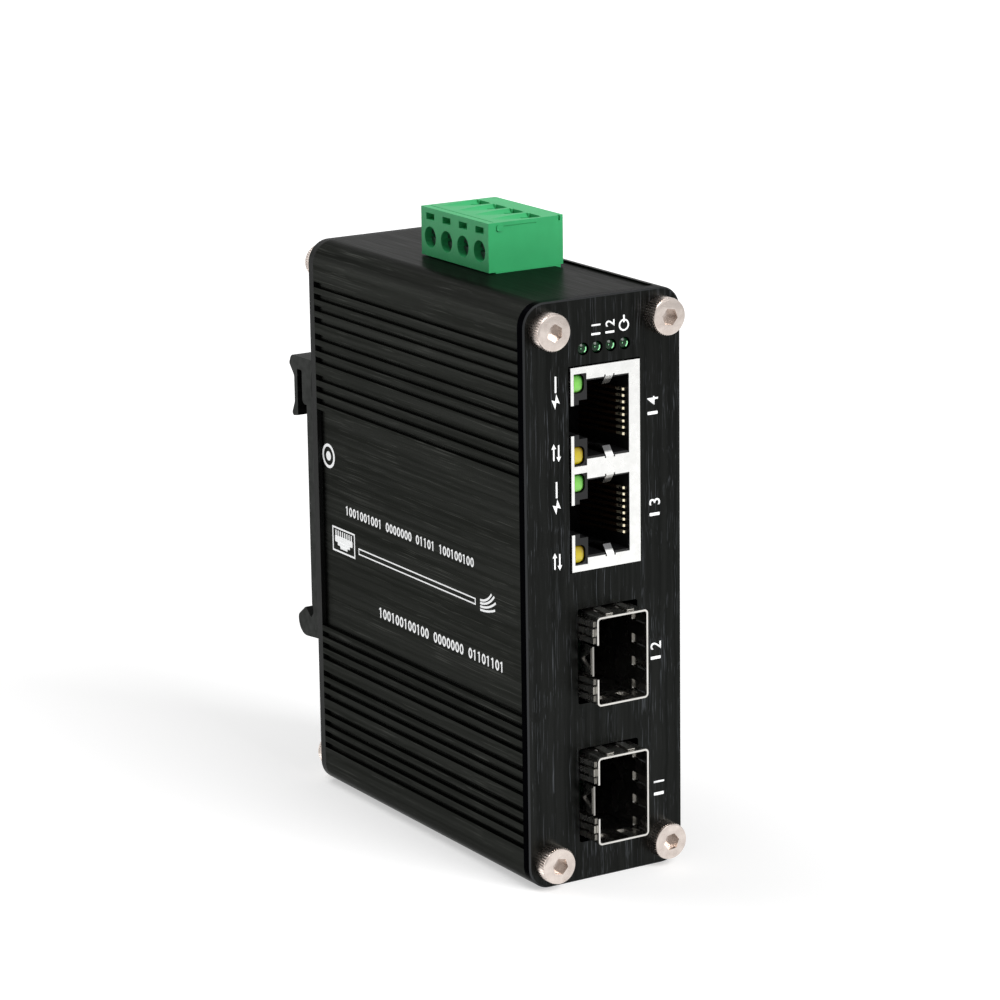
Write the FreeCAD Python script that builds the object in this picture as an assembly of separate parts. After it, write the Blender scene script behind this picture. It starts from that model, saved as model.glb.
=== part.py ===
"""Fibre media converter for a mounting rail: slim upright case, two fibre cages, a double jack.

The model is built in millimetres with X to the right, Z up and Y running back from the front
face. export() then sets each piece down so that the origin is the centre of the case's base.
"""
import FreeCAD, Part
import math
import os

Vec = FreeCAD.Vector

# ---- case ----
WIDTH = 29.0
HEIGHT = 94.5
DEPTH = 67.5            # front face of the front panel to rear face of the rear panel
PANEL = 1.8             # thickness of the two end panels
CORNER = 3.8            # outer corner radius of the profile
WALL = 1.8
SIDE_WALL = 2.2         # the side walls carry the grooves, so they are thicker
SEAM_X = 6.8            # where the cover profile meets the main profile
COVER_STEP = 0.3        # the cover's top and bottom sit this much inside the main profile
GROOVE_PITCH = 2.0
GROOVE_WIDTH = 1.0
GROOVE_DEPTH = 0.8
GROOVE_GROUPS = ((27.4, 3), (20.4, 3), (13.6, 4))   # top of the first groove, grooves below it
LABEL_EDGE = 28.4       # the flat field between the groove groups starts here

# ---- fixing screws of the end panels ----
SCREW_X = 10.6
SCREW_Z = 4.3
HEAD_R = 3.0
HEAD_H = 2.9
KNURLS = 12
KNURL_DEPTH = 0.16
HEAD_BEVEL = 0.45
SOCKET_AF = 2.5
SHANK_R = 1.45
SHANK_L = 9.0

# ---- circuit board ----
BOARD_X = (-5.85, -4.25)
BOARD_Y = (3.0, 63.5)
BOARD_Z = (2.1, 92.4)
RAIL_H = 2.6            # height of the ribs that guide the board

# ---- double jack ----
JACK_X = (-6.2, 6.6)
JACK_Y = (-0.35, 21.0)
JACK_GAP = 0.2          # free space between the shield and the panel's window
JACK_MID_Z = 67.4
JACK_HALF_Z = 16.3
PORT_PITCH = 15.85
PORT_X = (-3.05, 4.55)
PORT_HALF = 6.05
PORT_DEPTH = 14.0
SHEET = 0.3
FACE_X = (-5.65, 4.55)  # limits of the windows in the shield's face
FACE_HALF = 6.35        # half height of a window at the mouth of its port
CONTACT_PITCH = 1.02
LAMP_OFFSET = 5.7       # the jack's lamps sit this far above and below the middle of a port
LENS_X = (-5.6, -3.55)
LENS_HALF = 1.5
LEAF_X = (0.25, 1.65)   # the shield's earthing leaves, above and below each port

# ---- fibre cages ----
CAGE_X = (-4.25, 5.3)
CAGE_HALF_Z = 7.25
CAGE_MIDS = {"lower": 14.15, "upper": 37.1}
CAGE_FRONT = -4.3
CAGE_BACK = 44.5
CAGE_CORNER = 0.7
TONGUE_HALF = 2.4       # the sprung latch tongue in the cage's board side
TONGUE_GAP = 0.4
FINGER_RISE = 0.72
SHORT_RISE = 0.42       # and of those on the two short sides
CAGE_GAP = 0.12         # free space between the fingers and the panel's window
FINGER_PITCH = 3.8      # windows and fingers along the cage's long side
SMALL_PITCH = 1.35      # fingers beside the tongue
TOP_PITCH = 4.0         # fingers on the cage's short sides

# ---- status lamps ----
LAMP_X = (-3.6, -1.05, 1.5, 4.05)
LAMP_Z = 86.4
LAMP_R = 0.95
BLOCK_Y = (3.2, 9.0)    # the moulding that carries the lamps
BLOCK_HALF = 1.5

# ---- pluggable terminal ----
POLES = 4
POLE_PITCH = 5.08
POLE_MID_Y = 34.8
PLUG_X = (-5.5, 8.7)
PLUG_Z = (94.65, 102.6)
PLUG_HALF_Y = 10.4
SCREW_AXIS_Z = 97.8
SCOOP_X = (-2.4, 5.0)   # each wire entry starts and ends here
SCOOP_R = 2.9
SCOOP_DEPTH = 1.1
PIN_X = 2.0
HEADER_X = (-4.25, 8.0)
HEADER_HALF_Y = 10.45
HEADER_Z = (83.0, 94.63)

# ---- rail clip ----
CLIP_HALF = 14.0
CLIP_BOTTOM = 25.3
CLIP_TOP = 73.9
CLIP_PLATE = 2.6
CLIP_BAR = 4.05         # the stiff bar beside the sprung arm reaches this far off the panel
CLIP_ARM = (5.7, 6.75)  # inner and outer face of the sprung arm
CLIP_REACH = 8.4        # nose of the arm's upper end
HOOK_REACH = 7.5
NOTCH_Z = 28.45         # the rail's lower lip stands here
RAIL_SHOULDER = 65.85   # the rail's upper lip stops here
CLIP_SCREW_X = 8.0
CLIP_SCREW_Z = 47.0


def box(xs, ys, zs):
    """A block between the pairs of limits xs, ys and zs."""
    return Part.makeBox(xs[1] - xs[0], ys[1] - ys[0], zs[1] - zs[0], Vec(xs[0], ys[0], zs[0]))


def around(mid, half):
    """Limits at equal distance on both sides of mid."""
    return mid - half, mid + half


def prism(points, axis, start, end):
    """A polygon drawn square to axis ('x', 'y' or 'z') and extruded from start to end."""
    make = {"x": lambda a, b: Vec(start, a, b),
            "y": lambda a, b: Vec(a, start, b),
            "z": lambda a, b: Vec(a, b, start)}[axis]
    run = {"x": Vec(1, 0, 0), "y": Vec(0, 1, 0), "z": Vec(0, 0, 1)}[axis]
    loop = [make(a, b) for a, b in points]
    return Part.Face(Part.makePolygon(loop + loop[:1])).extrude(run * (end - start))


def rounded(xs, zs, radius, ys):
    """A block whose four edges along Y have the given radius."""
    block = box(xs, ys, zs)
    edges = [e for e in block.Edges if abs(e.tangentAt(e.FirstParameter).y) > 0.99]
    return block.makeFillet(radius, edges)


def rod(start, direction, radius, length):
    """A round bar from start along direction."""
    return Part.makeCylinder(radius, length, Vec(*start), Vec(*direction))


def cut_all(shape, tools):
    """shape with every tool taken away."""
    tools = list(tools)
    return shape.cut(tools) if tools else shape


def join(shapes):
    """The shapes fused into one, with the seams between them cleaned."""
    shapes = list(shapes)
    return shapes[0].fuse(shapes[1:]).removeSplitter() if len(shapes) > 1 else shapes[0]


def export(name, shape):
    """Write one piece to parts/, set down with the origin at the centre of the case's base."""
    placed = shape.copy()
    placed.translate(Vec(0, -DEPTH / 2, 0))
    bad = [s for s in placed.Solids if not s.isValid() or s.Volume <= 0]
    if bad or not placed.Solids:
        raise RuntimeError("piece " + name + " is not a sound solid")
    placed.exportStep("parts/" + name + ".step")
    print("%-22s solids %2d  faces %4d  volume %9.2f" % (
        name, len(placed.Solids), len(placed.Faces), placed.Volume))


def corners():
    """The four screw places of an end panel."""
    return [(sx * SCREW_X, z) for sx in (-1, 1) for z in (SCREW_Z, HEIGHT - SCREW_Z)]


def pole_ys():
    """The middle of each terminal pole."""
    first = POLE_MID_Y - POLE_PITCH * (POLES - 1) / 2
    return [first + POLE_PITCH * k for k in range(POLES)]


# ------------------------------------------------------------------ case
def groove_levels():
    """Lower and upper limit of every groove, below the label field and mirrored above it."""
    below = [(top - GROOVE_PITCH * k - GROOVE_WIDTH, top - GROOVE_PITCH * k)
             for top, count in GROOVE_GROUPS for k in range(count)]
    return below + [(HEIGHT - high, HEIGHT - low) for low, high in below]


def side_relief(side):
    """The grooves and the flat label field that are sunk into one side; side is -1 or 1."""
    xs = sorted((side * (WIDTH / 2 + 1), side * (WIDTH / 2 - GROOVE_DEPTH)))
    fields = groove_levels() + [(LABEL_EDGE, HEIGHT - LABEL_EDGE)]
    return [box(xs, (-1, DEPTH + 1), zs) for zs in fields]


def profile_tube():
    """The whole case profile before it is split, with its screw channels and board guides."""
    ys = (PANEL, DEPTH - PANEL)
    half = WIDTH / 2
    outer = rounded((-half, half), (0, HEIGHT), CORNER, ys)
    inner = rounded((-half + SIDE_WALL, half - SIDE_WALL), (WALL, HEIGHT - WALL), CORNER - WALL, ys)
    solid = outer.cut(inner)
    bosses = [rod((x, PANEL, z), (0, 1, 0), SHANK_R + 1.25, ys[1] - ys[0]) for x, z in corners()]
    ribs = []
    for low, high in ((WALL - 0.4, WALL + RAIL_H), (HEIGHT - WALL - RAIL_H, HEIGHT - WALL + 0.4)):
        ribs.append(box((BOARD_X[0] - 0.95, BOARD_X[0] - 0.1), ys, (low, high)))
        ribs.append(box((BOARD_X[1] + 0.1, BOARD_X[1] + 0.95), ys, (low, high)))
    solid = solid.fuse([b.common(outer) for b in bosses] + ribs)
    return cut_all(solid, [rod((x, -1, z), (0, 1, 0), SHANK_R, DEPTH + 2) for x, z in corners()])


def terminal_opening():
    """The hole in the top wall that the terminal header stands in."""
    return box((HEADER_X[0] - 0.2, HEADER_X[1] + 0.2),
               around(POLE_MID_Y, HEADER_HALF_Y + 0.2), (HEADER_Z[0], HEIGHT + 1))


def lap(grow):
    """The half-lap tongues of the cover, top and bottom; grow is the clearance all round."""
    ys = (PANEL - 1 if grow else PANEL, DEPTH - PANEL + (1 if grow else 0))
    xs = (SEAM_X - 1.5 - grow, SEAM_X + 0.6)
    thick = 0.85
    return [box(xs, ys, (WALL - thick - grow, WALL + 0.01 * bool(grow))),
            box(xs, ys, (HEIGHT - WALL - 0.01 * bool(grow), HEIGHT - WALL + thick + grow))]


def case_profiles():
    """The main profile and the cover profile that closes it on the right."""
    tube = profile_tube()
    left = box((-WIDTH, SEAM_X), (-1, DEPTH + 1), (-1, HEIGHT + 1))
    right = box((SEAM_X, WIDTH), (-1, DEPTH + 1), (-1, HEIGHT + 1))
    main = tube.common(left)
    main = cut_all(main, lap(0.06) + side_relief(-1) + [terminal_opening()])
    flats = [box((SEAM_X - 1, WIDTH / 2 - CORNER), (-1, DEPTH + 1), zs)
             for zs in ((-1, COVER_STEP), (HEIGHT - COVER_STEP, HEIGHT + 1))]
    cover = tube.common(right).fuse(lap(0.0))
    cover = cut_all(cover, side_relief(1) + flats + [terminal_opening()])
    return main.removeSplitter(), cover.removeSplitter()


def panel_plate(ys, chamfered_y):
    """A rounded end plate with a small chamfer round its outer face and four screw holes."""
    half = WIDTH / 2
    plate = rounded((-half, half), (0, HEIGHT), CORNER, ys)
    face = min(plate.Faces, key=lambda f: abs(f.CenterOfMass.y - chamfered_y))
    plate = plate.makeChamfer(0.25, face.Edges)
    return cut_all(plate, [rod((x, ys[0] - 1, z), (0, 1, 0), SHANK_R + 0.2, PANEL + 2)
                           for x, z in corners()])


def front_panel():
    """The front plate with windows for the jack and the cages and four lamp holes."""
    ys = (0, PANEL)
    through = (-1, PANEL + 1)
    windows = [box((JACK_X[0] - JACK_GAP, JACK_X[1] + JACK_GAP), through,
                   around(JACK_MID_Z, JACK_HALF_Z + JACK_GAP))]
    for mid in CAGE_MIDS.values():
        windows.append(rounded((CAGE_X[0] - FINGER_RISE - CAGE_GAP, CAGE_X[1] + FINGER_RISE + CAGE_GAP),
                               around(mid, CAGE_HALF_Z + SHORT_RISE + CAGE_GAP), 0.4, through))
    windows += [rod((x, -1, LAMP_Z), (0, 1, 0), LAMP_R + 0.05, PANEL + 2) for x in LAMP_X]
    return cut_all(panel_plate(ys, 0), windows)


def rear_panel():
    """The plain rear plate, drilled for the clip's two screws."""
    ys = (DEPTH - PANEL, DEPTH)
    holes = [rod((sx * CLIP_SCREW_X, ys[0] - 1, CLIP_SCREW_Z), (0, 1, 0), 1.3, PANEL + 2)
             for sx in (-1, 1)]
    return cut_all(panel_plate(ys, DEPTH), holes)


def knurled_ring(x, y, z, share):
    """The toothed outline of a screw head, square to Y and scaled by share."""
    spots = []
    for k in range(KNURLS * 2):
        radius = share * (HEAD_R - KNURL_DEPTH * (k % 2))
        angle = math.pi * k / KNURLS
        spots.append(Vec(x + radius * math.cos(angle), y, z + radius * math.sin(angle)))
    return Part.makePolygon(spots + spots[:1])


def cap_screw(x, z, face_y, out):
    """A knurled socket-head screw; out is -1 when its head stands towards the front."""
    top = face_y + out * HEAD_H
    head = Part.makeLoft([knurled_ring(x, face_y, z, 1.0),
                          knurled_ring(x, top - out * HEAD_BEVEL, z, 1.0),
                          knurled_ring(x, top, z, 1 - HEAD_BEVEL / HEAD_R)], True, True)
    hexagon = [(x + SOCKET_AF / math.sqrt(3) * math.cos(math.pi * k / 3),
                z + SOCKET_AF / math.sqrt(3) * math.sin(math.pi * k / 3)) for k in range(6)]
    low, high = sorted((top + out * 0.5, top - out * 1.6))
    head = head.cut(prism(hexagon, "y", low, high))
    shank = rod((x, face_y + out * 0.1, z), (0, -out, 0), SHANK_R - 0.02, SHANK_L + 0.1)
    return head.fuse(shank)


# ------------------------------------------------------------------ rail clip
def soft_outline(points, x):
    """A closed wire square to X through (y, z, radius) corners; a radius of 0 leaves a corner sharp."""
    edges, tangents = [], []
    spots = [Vec(x, y, z) for y, z, _ in points]
    for k, (_, _, radius) in enumerate(points):
        here, back, ahead = spots[k], spots[k - 1], spots[(k + 1) % len(spots)]
        to_back, to_ahead = (back - here).normalize(), (ahead - here).normalize()
        if radius == 0:
            tangents.append((here, None, here))
            continue
        half = to_back.getAngle(to_ahead) / 2
        reach, inward = radius / math.tan(half), (to_back + to_ahead).normalize()
        middle = here + inward * (radius / math.sin(half) - radius)
        tangents.append((here + to_back * reach, middle, here + to_ahead * reach))
    last = tangents[-1][2]
    for first, middle, end in tangents:
        edges.append(Part.LineSegment(last, first).toShape())
        if middle:
            edges.append(Part.Arc(first, middle, end).toShape())
        last = end
    return Part.Wire(edges)


def rail_clip():
    """The extruded clip: hook below, sprung jaw above, drawn as one profile across X."""
    back = DEPTH
    inner, outer = CLIP_ARM
    hook = [(0, CLIP_BOTTOM, 0), (HOOK_REACH - 0.3, CLIP_BOTTOM - 0.7, 2.6), (HOOK_REACH, NOTCH_Z - 0.4, 1.0),
            (4.85, NOTCH_Z + 1.55, 0.25), (CLIP_PLATE + 0.35, NOTCH_Z, 0.15),
            (CLIP_PLATE - 0.45, NOTCH_Z + 0.95, 0), (CLIP_PLATE - 0.45, NOTCH_Z + 1.55, 0),
            (CLIP_PLATE, NOTCH_Z + 2.55, 0)]
    jaw = [(CLIP_PLATE, RAIL_SHOULDER, 0), (CLIP_BAR, RAIL_SHOULDER, 0.9), (CLIP_BAR, CLIP_TOP - 2.3, 0.35),
           (inner, CLIP_TOP - 2.3, 0.35), (inner, RAIL_SHOULDER - 2.35, 0.15),
           (8.0, RAIL_SHOULDER - 2.75, 0.5), (outer, RAIL_SHOULDER - 0.15, 0.8),
           (outer, CLIP_TOP - 3.6, 1.0), (CLIP_REACH, CLIP_TOP - 1.7, 0.5),
           (CLIP_REACH - 0.8, CLIP_TOP - 0.1, 1.2), (0, CLIP_TOP, 0)]
    wire = soft_outline([(back + t, z, radius) for t, z, radius in hook + jaw], -CLIP_HALF)
    clip = Part.Face(wire).extrude(Vec(2 * CLIP_HALF, 0, 0))
    slit = box((-CLIP_HALF - 1, CLIP_HALF + 1), (back - 1, back + 0.75), (CLIP_TOP - 6.4, CLIP_TOP - 1.9))
    slit = slit.makeFillet(0.35, [e for e in slit.Edges if e.CenterOfMass.y > back + 0.7
                                  and abs(e.tangentAt(e.FirstParameter).x) > 0.99])
    clip = clip.cut(slit)
    for sx in (-1, 1):
        place = Vec(sx * CLIP_SCREW_X, back - 0.5, CLIP_SCREW_Z)
        clip = clip.cut(Part.makeCylinder(1.55, 6, place, Vec(0, 1, 0)))
        sink = Part.makeCone(1.55, 3.05, 1.5, Vec(place.x, back + CLIP_PLATE - 1.5, place.z), Vec(0, 1, 0))
        clip = clip.cut(sink)
    return clip


def clip_screw(side):
    """A countersunk screw that holds the clip to the rear panel."""
    x, z, top = side * CLIP_SCREW_X, CLIP_SCREW_Z, DEPTH + CLIP_PLATE - 0.05
    head = Part.makeCone(1.3, 2.85, 1.45, Vec(x, top - 1.45, z), Vec(0, 1, 0))
    shank = rod((x, top - 1.4, z), (0, -1, 0), 1.28, 6.2)
    slot = [box(around(x, 1.5), (top - 0.8, top + 1), around(z, 0.3)),
            box(around(x, 0.3), (top - 0.8, top + 1), around(z, 1.5))]
    return cut_all(head.fuse(shank), slot)


# ------------------------------------------------------------------ board and what it carries
def main_board():
    """The circuit board, notched for the sunk jack and drilled for the header's pins."""
    board = box(BOARD_X, BOARD_Y, BOARD_Z)
    through = (BOARD_X[0] - 1, BOARD_X[1] + 1)
    notches = [box(through, (0, JACK_Y[1] + 0.4), around(JACK_MID_Z, JACK_HALF_Z + 0.3)),
               box(through, (0, BLOCK_Y[1]), around(LAMP_Z, BLOCK_HALF))]
    holes = [box(through, around(y, 0.62), around(HEADER_Z[0] - 1.3, 0.62)) for y in pole_ys()]
    return cut_all(board, notches + holes)


def port_mids():
    """The middle of the upper and the lower port."""
    return JACK_MID_Z + PORT_PITCH / 2, JACK_MID_Z - PORT_PITCH / 2


def lens_block(z, ys):
    """The outline of one jack lamp: a block with two well rounded edges on its right."""
    block = box(LENS_X, ys, around(z, LENS_HALF))
    return block.makeFillet(0.9, [e for e in block.Edges if e.CenterOfMass.x > LENS_X[1] - 0.01
                                  and abs(e.tangentAt(e.FirstParameter).y) > 0.99])


def jack_leaf(mid, side):
    """A leaf bent in from the shield's face over one edge of a port, to touch a plug's shell."""
    front = JACK_Y[0]
    bend = [(front, FACE_HALF + 0.4), (front, FACE_HALF + 0.05), (0.8, 4.95), (7.6, 5.72), (7.6, 5.95),
            (1.0, 5.2), (front + SHEET, FACE_HALF + 0.4)]
    return prism([(y, mid + side * n) for y, n in bend], "x", *LEAF_X)


def jack_shield():
    """The folded tin shell of the double jack: a windowed face, five walls and ears on the board."""
    zs = around(JACK_MID_Z, JACK_HALF_Z)
    shell = box(JACK_X, JACK_Y, zs)
    hollow = box((JACK_X[0] + SHEET, JACK_X[1] - SHEET), (JACK_Y[0] + SHEET, JACK_Y[1] - SHEET),
                 (zs[0] + SHEET, zs[1] - SHEET))
    face = (JACK_Y[0] - 1, JACK_Y[0] + SHEET)
    cuts = [hollow]
    leaves = []
    for mid in port_mids():
        cuts.append(box(FACE_X, face, around(mid, FACE_HALF)))
        cuts.append(box((FACE_X[0], LENS_X[1] + 0.25), face, around(mid, LAMP_OFFSET + LENS_HALF + 0.15)))
        cuts.append(box((LEAF_X[0] - 0.25, LEAF_X[1] + 0.25), face, around(mid, FACE_HALF + 0.3)))
        cuts.append(box((JACK_X[0] - 1, JACK_X[0] + 1), (JACK_Y[0] - 1, 6.0), around(mid, 2.4)))
        leaves += [jack_leaf(mid, side) for side in (-1, 1)]
    ears = []
    for low, high in ((zs[0] - 2.0, zs[0] + 0.1), (zs[1] - 0.1, zs[1] + 2.0)):
        ears.append(box((BOARD_X[1], BOARD_X[1] + SHEET), (10, 17), (low, high)))
    return join([cut_all(shell, cuts)] + leaves + ears)


def jack_insert():
    """The moulded body inside the shield: two ports with latch steps, and pockets for the lamps."""
    xs = (JACK_X[0] + SHEET, JACK_X[1] - SHEET)
    front = JACK_Y[0] + SHEET
    body = box(xs, (front, JACK_Y[1] - SHEET), around(JACK_MID_Z, JACK_HALF_Z - SHEET))
    deep = (front - 1, PORT_DEPTH)
    tools = []
    for mid in port_mids():
        tools.append(box(PORT_X, deep, around(mid, PORT_HALF)))
        tools.append(box((PORT_X[0] - 1.5, PORT_X[0] + 1), deep, around(mid, 3.1)))
        tools.append(box((xs[0] - 1, PORT_X[0]), deep, around(mid, 2.4)))
        tools.append(box((LEAF_X[0] - 0.15, LEAF_X[1] + 0.15), (front - 1, 8.0),
                         around(mid, FACE_HALF + 0.45)))
        for side in (-1, 1):
            tools.append(lens_block(mid + side * LAMP_OFFSET, (front - 1, 8.0)))
        for k in range(8):
            z = mid + (k - 3.5) * CONTACT_PITCH
            tools.append(box((PORT_X[1] - 0.5, PORT_X[1] + 0.4), (0.6, PORT_DEPTH), around(z, 0.2)))
    return cut_all(body, tools)


def jack_contacts():
    """Eight bent spring wires in each port, each lying in its slot of the moulded comb."""
    wires = []
    points = [(4.95, 0.9), (4.95, 1.3), (4.5, 1.5), (2.1, 10.2), (1.8, 10.0), (4.15, 1.0), (4.4, 0.75)]
    for mid in port_mids():
        for k in range(8):
            z = mid + (k - 3.5) * CONTACT_PITCH
            wires.append(prism(points, "z", z - 0.2, z + 0.2))
    return Part.makeCompound(wires)


def jack_lamps(side):
    """The two lamp lenses on one side of the ports, domed in front; side 1 is the upper row."""
    lenses = []
    for mid in port_mids():
        lens = lens_block(mid + side * LAMP_OFFSET, (JACK_Y[0] - 0.05, 8.0))
        rim = min(lens.Faces, key=lambda f: f.CenterOfMass.y)
        lenses.append(lens.makeChamfer(0.25, rim.Edges))
    return Part.makeCompound(lenses)


def side_windows(mid):
    """The middles of the windows and fingers along the cage's long side."""
    return [mid - 0.3 + (k - 1.5) * FINGER_PITCH for k in range(4)]


def top_windows():
    """The middles of the windows and fingers on the cage's short sides."""
    middle = (CAGE_X[0] + CAGE_X[1]) / 2
    return [middle + side * TOP_PITCH / 2 for side in (-1, 1)]


def latch_tongue(mid):
    """The sprung tongue of a cage, bent outwards, with the lipped hole that holds a module."""
    face = CAGE_X[0]
    tip = CAGE_FRONT + 0.9
    bend = [(face, 6.3), (face, 2.6), (face - 0.35, tip), (face - 0.35 + SHEET, tip),
            (face + SHEET, 2.6), (face + SHEET, 6.3)]
    tongue = prism(bend, "z", *around(mid, TONGUE_HALF))
    base, point, half, lip = tip + 0.4, tip + 2.9, 1.5, 0.32
    hole = [(base, mid - half), (base, mid + half), (point, mid)]
    rim = [(base - lip / 2, mid - half - 2 * lip), (base - lip / 2, mid + half + 2 * lip),
           (point + lip * 1.6, mid)]
    raised = prism(rim, "x", face - 0.5, face - 0.15)
    return tongue.fuse(raised).cut(prism(hole, "x", face - 1, face + 1))


def fibre_cage(mid):
    """A folded cage: open front with a sprung latch tongue, closed back, cut out for its socket."""
    zs = around(mid, CAGE_HALF_Z)
    shell = rounded(CAGE_X, zs, CAGE_CORNER, (CAGE_FRONT, CAGE_BACK))
    hollow = rounded((CAGE_X[0] + SHEET, CAGE_X[1] - SHEET), (zs[0] + SHEET, zs[1] - SHEET),
                     CAGE_CORNER - SHEET, (CAGE_FRONT - 1, CAGE_BACK - SHEET))
    left = (CAGE_X[0] - 1, CAGE_X[0] + SHEET + 0.1)
    right = (CAGE_X[1] - SHEET - 0.1, CAGE_X[1] + 1)
    cuts = [hollow, box(left, (32.5, 43.5), around(mid, 5.9)),
            box(left, (CAGE_FRONT - 1, 6.0), around(mid, TONGUE_HALF + TONGUE_GAP))]
    for side in (-1, 1):
        wall = sorted((mid + side * (CAGE_HALF_Z - SHEET - 0.1), mid + side * (CAGE_HALF_Z + 1)))
        cuts += [box(around(x, 0.75), (-3.7, -0.2), wall) for x in top_windows()]
        cuts += [box(right, around(14.0 + 9.0 * k, 2.6), around(mid + side * 2.6, 1.0)) for k in range(3)]
    cuts += [box(right, (-3.8, -0.1), around(z, 0.8)) for z in side_windows(mid)]
    return join([cut_all(shell, cuts), latch_tongue(mid)])


def spring_finger(middle, face, out, along):
    """One bowed spring finger on a cage wall; it is wide along z or x and stands towards out."""
    rise = FINGER_RISE if along == "z" else SHORT_RISE
    outer = [(0, 4.2), (0, -3.5), (0.22, -3.5), (0.32, -2.5), (rise, -0.2), (rise, 1.0),
             (0.32, 2.8), (0.25, 4.2)]
    under = [(0.02, 2.4), (0.02, -2.3), (rise - 0.24, -0.15), (rise - 0.24, 0.9)]
    limits = around(middle, 0.65)
    wide = (limits[0] - 1, limits[1] + 1)
    if along == "z":
        body = prism([(face + out * off, y) for off, y in outer], "z", *limits)
        return body.cut(prism([(face + out * off, y) for off, y in under], "z", *wide))
    body = prism([(y, face + out * off) for off, y in outer], "x", *limits)
    return body.cut(prism([(y, face + out * off) for off, y in under], "x", *wide))


def finger_collar(mid):
    """The spring collar round a cage: a band with bowed fingers that touch the panel's window."""
    zs = around(mid, CAGE_HALF_Z)
    band = box((CAGE_X[0] + CAGE_CORNER, CAGE_X[1] + 0.25), (4.0, 7.5), (zs[0] - 0.25, zs[1] + 0.25))
    band = band.cut(rounded(CAGE_X, zs, CAGE_CORNER, (3, 9)))
    parts = [band] + [spring_finger(z, CAGE_X[1], 1, "z") for z in side_windows(mid)]
    for x in top_windows():
        parts += [spring_finger(x, zs[0], -1, "x"), spring_finger(x, zs[1], 1, "x")]
    return join(parts)


def small_finger(mid):
    """A narrow finger beside the tongue, bowed in front of the board's edge."""
    face, rise = CAGE_X[0], FINGER_RISE
    outline = [(0, 2.6), (0, 2.2), (rise - 0.22, 0.95), (rise - 0.22, 0.25), (0.06, -2.3), (0, -2.3),
               (0, -3.5), (0.22, -3.5), (0.3, -2.5), (rise, 0.1), (rise, 1.1), (0.32, 2.6)]
    return prism([(face - off, y) for off, y in outline], "z", mid - 0.45, mid + 0.45)


def small_strips(mid):
    """The two finger strips on the cage's board side, one on each side of the tongue."""
    strips = []
    for side in (-1, 1):
        z = mid + side * 4.7
        face = CAGE_X[0]
        bar = box((face - 0.25, face), (1.9, 2.6), around(z, SMALL_PITCH + 0.45))
        foot = box((face - 0.4, face), (-3.6, -2.0), around(z, 0.6))
        strips.append(join([bar, foot] + [small_finger(z + k * SMALL_PITCH) for k in (-1, 0, 1)]))
    return strips


def fibre_socket(mid):
    """The edge connector that a module plugs into at the back of a cage."""
    body = box((CAGE_X[0], 1.2), (33.0, 43.0), around(mid, 5.6))
    mouth = box((-2.2, -0.9), (32.0, 39.0), around(mid, 4.9))
    return body.cut(mouth)


def lamp_block():
    """The black moulding that holds the four stacked status lamps square to the board."""
    return box((LAMP_X[0] - 1.5, LAMP_X[-1] + 1.5), BLOCK_Y, around(LAMP_Z, BLOCK_HALF))


def status_lamps():
    """Four round lenses that reach from the block into the panel's holes, each with a low dome."""
    radius, rise, front = LAMP_R - 0.05, 0.4, 0.5
    outline = [(0, front - rise), (0.5 * radius, front - 0.85 * rise), (0.87 * radius, front - 0.45 * rise),
               (radius, front), (radius, BLOCK_Y[0]), (0, BLOCK_Y[0]), (0, front - rise)]
    lamps = []
    for x in LAMP_X:
        half = Part.Face(Part.makePolygon([Vec(x + r, y, LAMP_Z) for r, y in outline]))
        lamps.append(half.revolve(Vec(x, 0, LAMP_Z), Vec(0, 1, 0), 360))
    return Part.makeCompound(lamps)


# ------------------------------------------------------------------ terminal
def terminal_header():
    """The open shroud on the board that the plug goes into."""
    ys = around(POLE_MID_Y, HEADER_HALF_Y)
    shroud = box(HEADER_X, ys, HEADER_Z)
    inner_z = (HEADER_Z[0] + 2.0, HEADER_Z[1] + 1)
    well = box((HEADER_X[0] + 1.0, HEADER_X[1] - 1.0), (ys[0] + 0.8, ys[1] - 0.8), inner_z)
    keys = [box((HEADER_X[1] - 1.5, HEADER_X[1] - 0.5), around(y, 0.8), inner_z) for y in pole_ys()]
    holes = [box(around(PIN_X, 0.5), around(y, 0.5), (HEADER_Z[0] - 1, HEADER_Z[0] + 3)) for y in pole_ys()]
    return cut_all(shroud, [well] + keys + holes)


def header_pins():
    """Four square pins: up into the plug, and bent below the header into the board."""
    low = HEADER_Z[0] - 1.8
    pins = []
    for y in pole_ys():
        up = box(around(PIN_X, 0.5), around(y, 0.5), (low, 92.0))
        tip = up.makeChamfer(0.3, [e for e in up.Edges if e.CenterOfMass.z > 91.9])
        foot = box((BOARD_X[0] - 1.2, PIN_X), around(y, 0.5), (low, low + 1.0))
        pins.append(tip.fuse(foot).removeSplitter())
    return Part.makeCompound(pins)


def wire_entry(y):
    """The wire entry of one pole: a scoop that deepens to the right, with a square neck at its end."""
    start = Vec(SCOOP_X[0], y, PLUG_Z[1] + SCOOP_R - 0.1)
    end = Vec(SCOOP_X[1], y, PLUG_Z[1] + SCOOP_R - SCOOP_DEPTH)
    run = end - start
    scoop = Part.makeCylinder(SCOOP_R, run.Length, start, run)
    return scoop.fuse(box((3.1, SCOOP_X[1]), around(y, 1.5), (99.0, PLUG_Z[1])))


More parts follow.
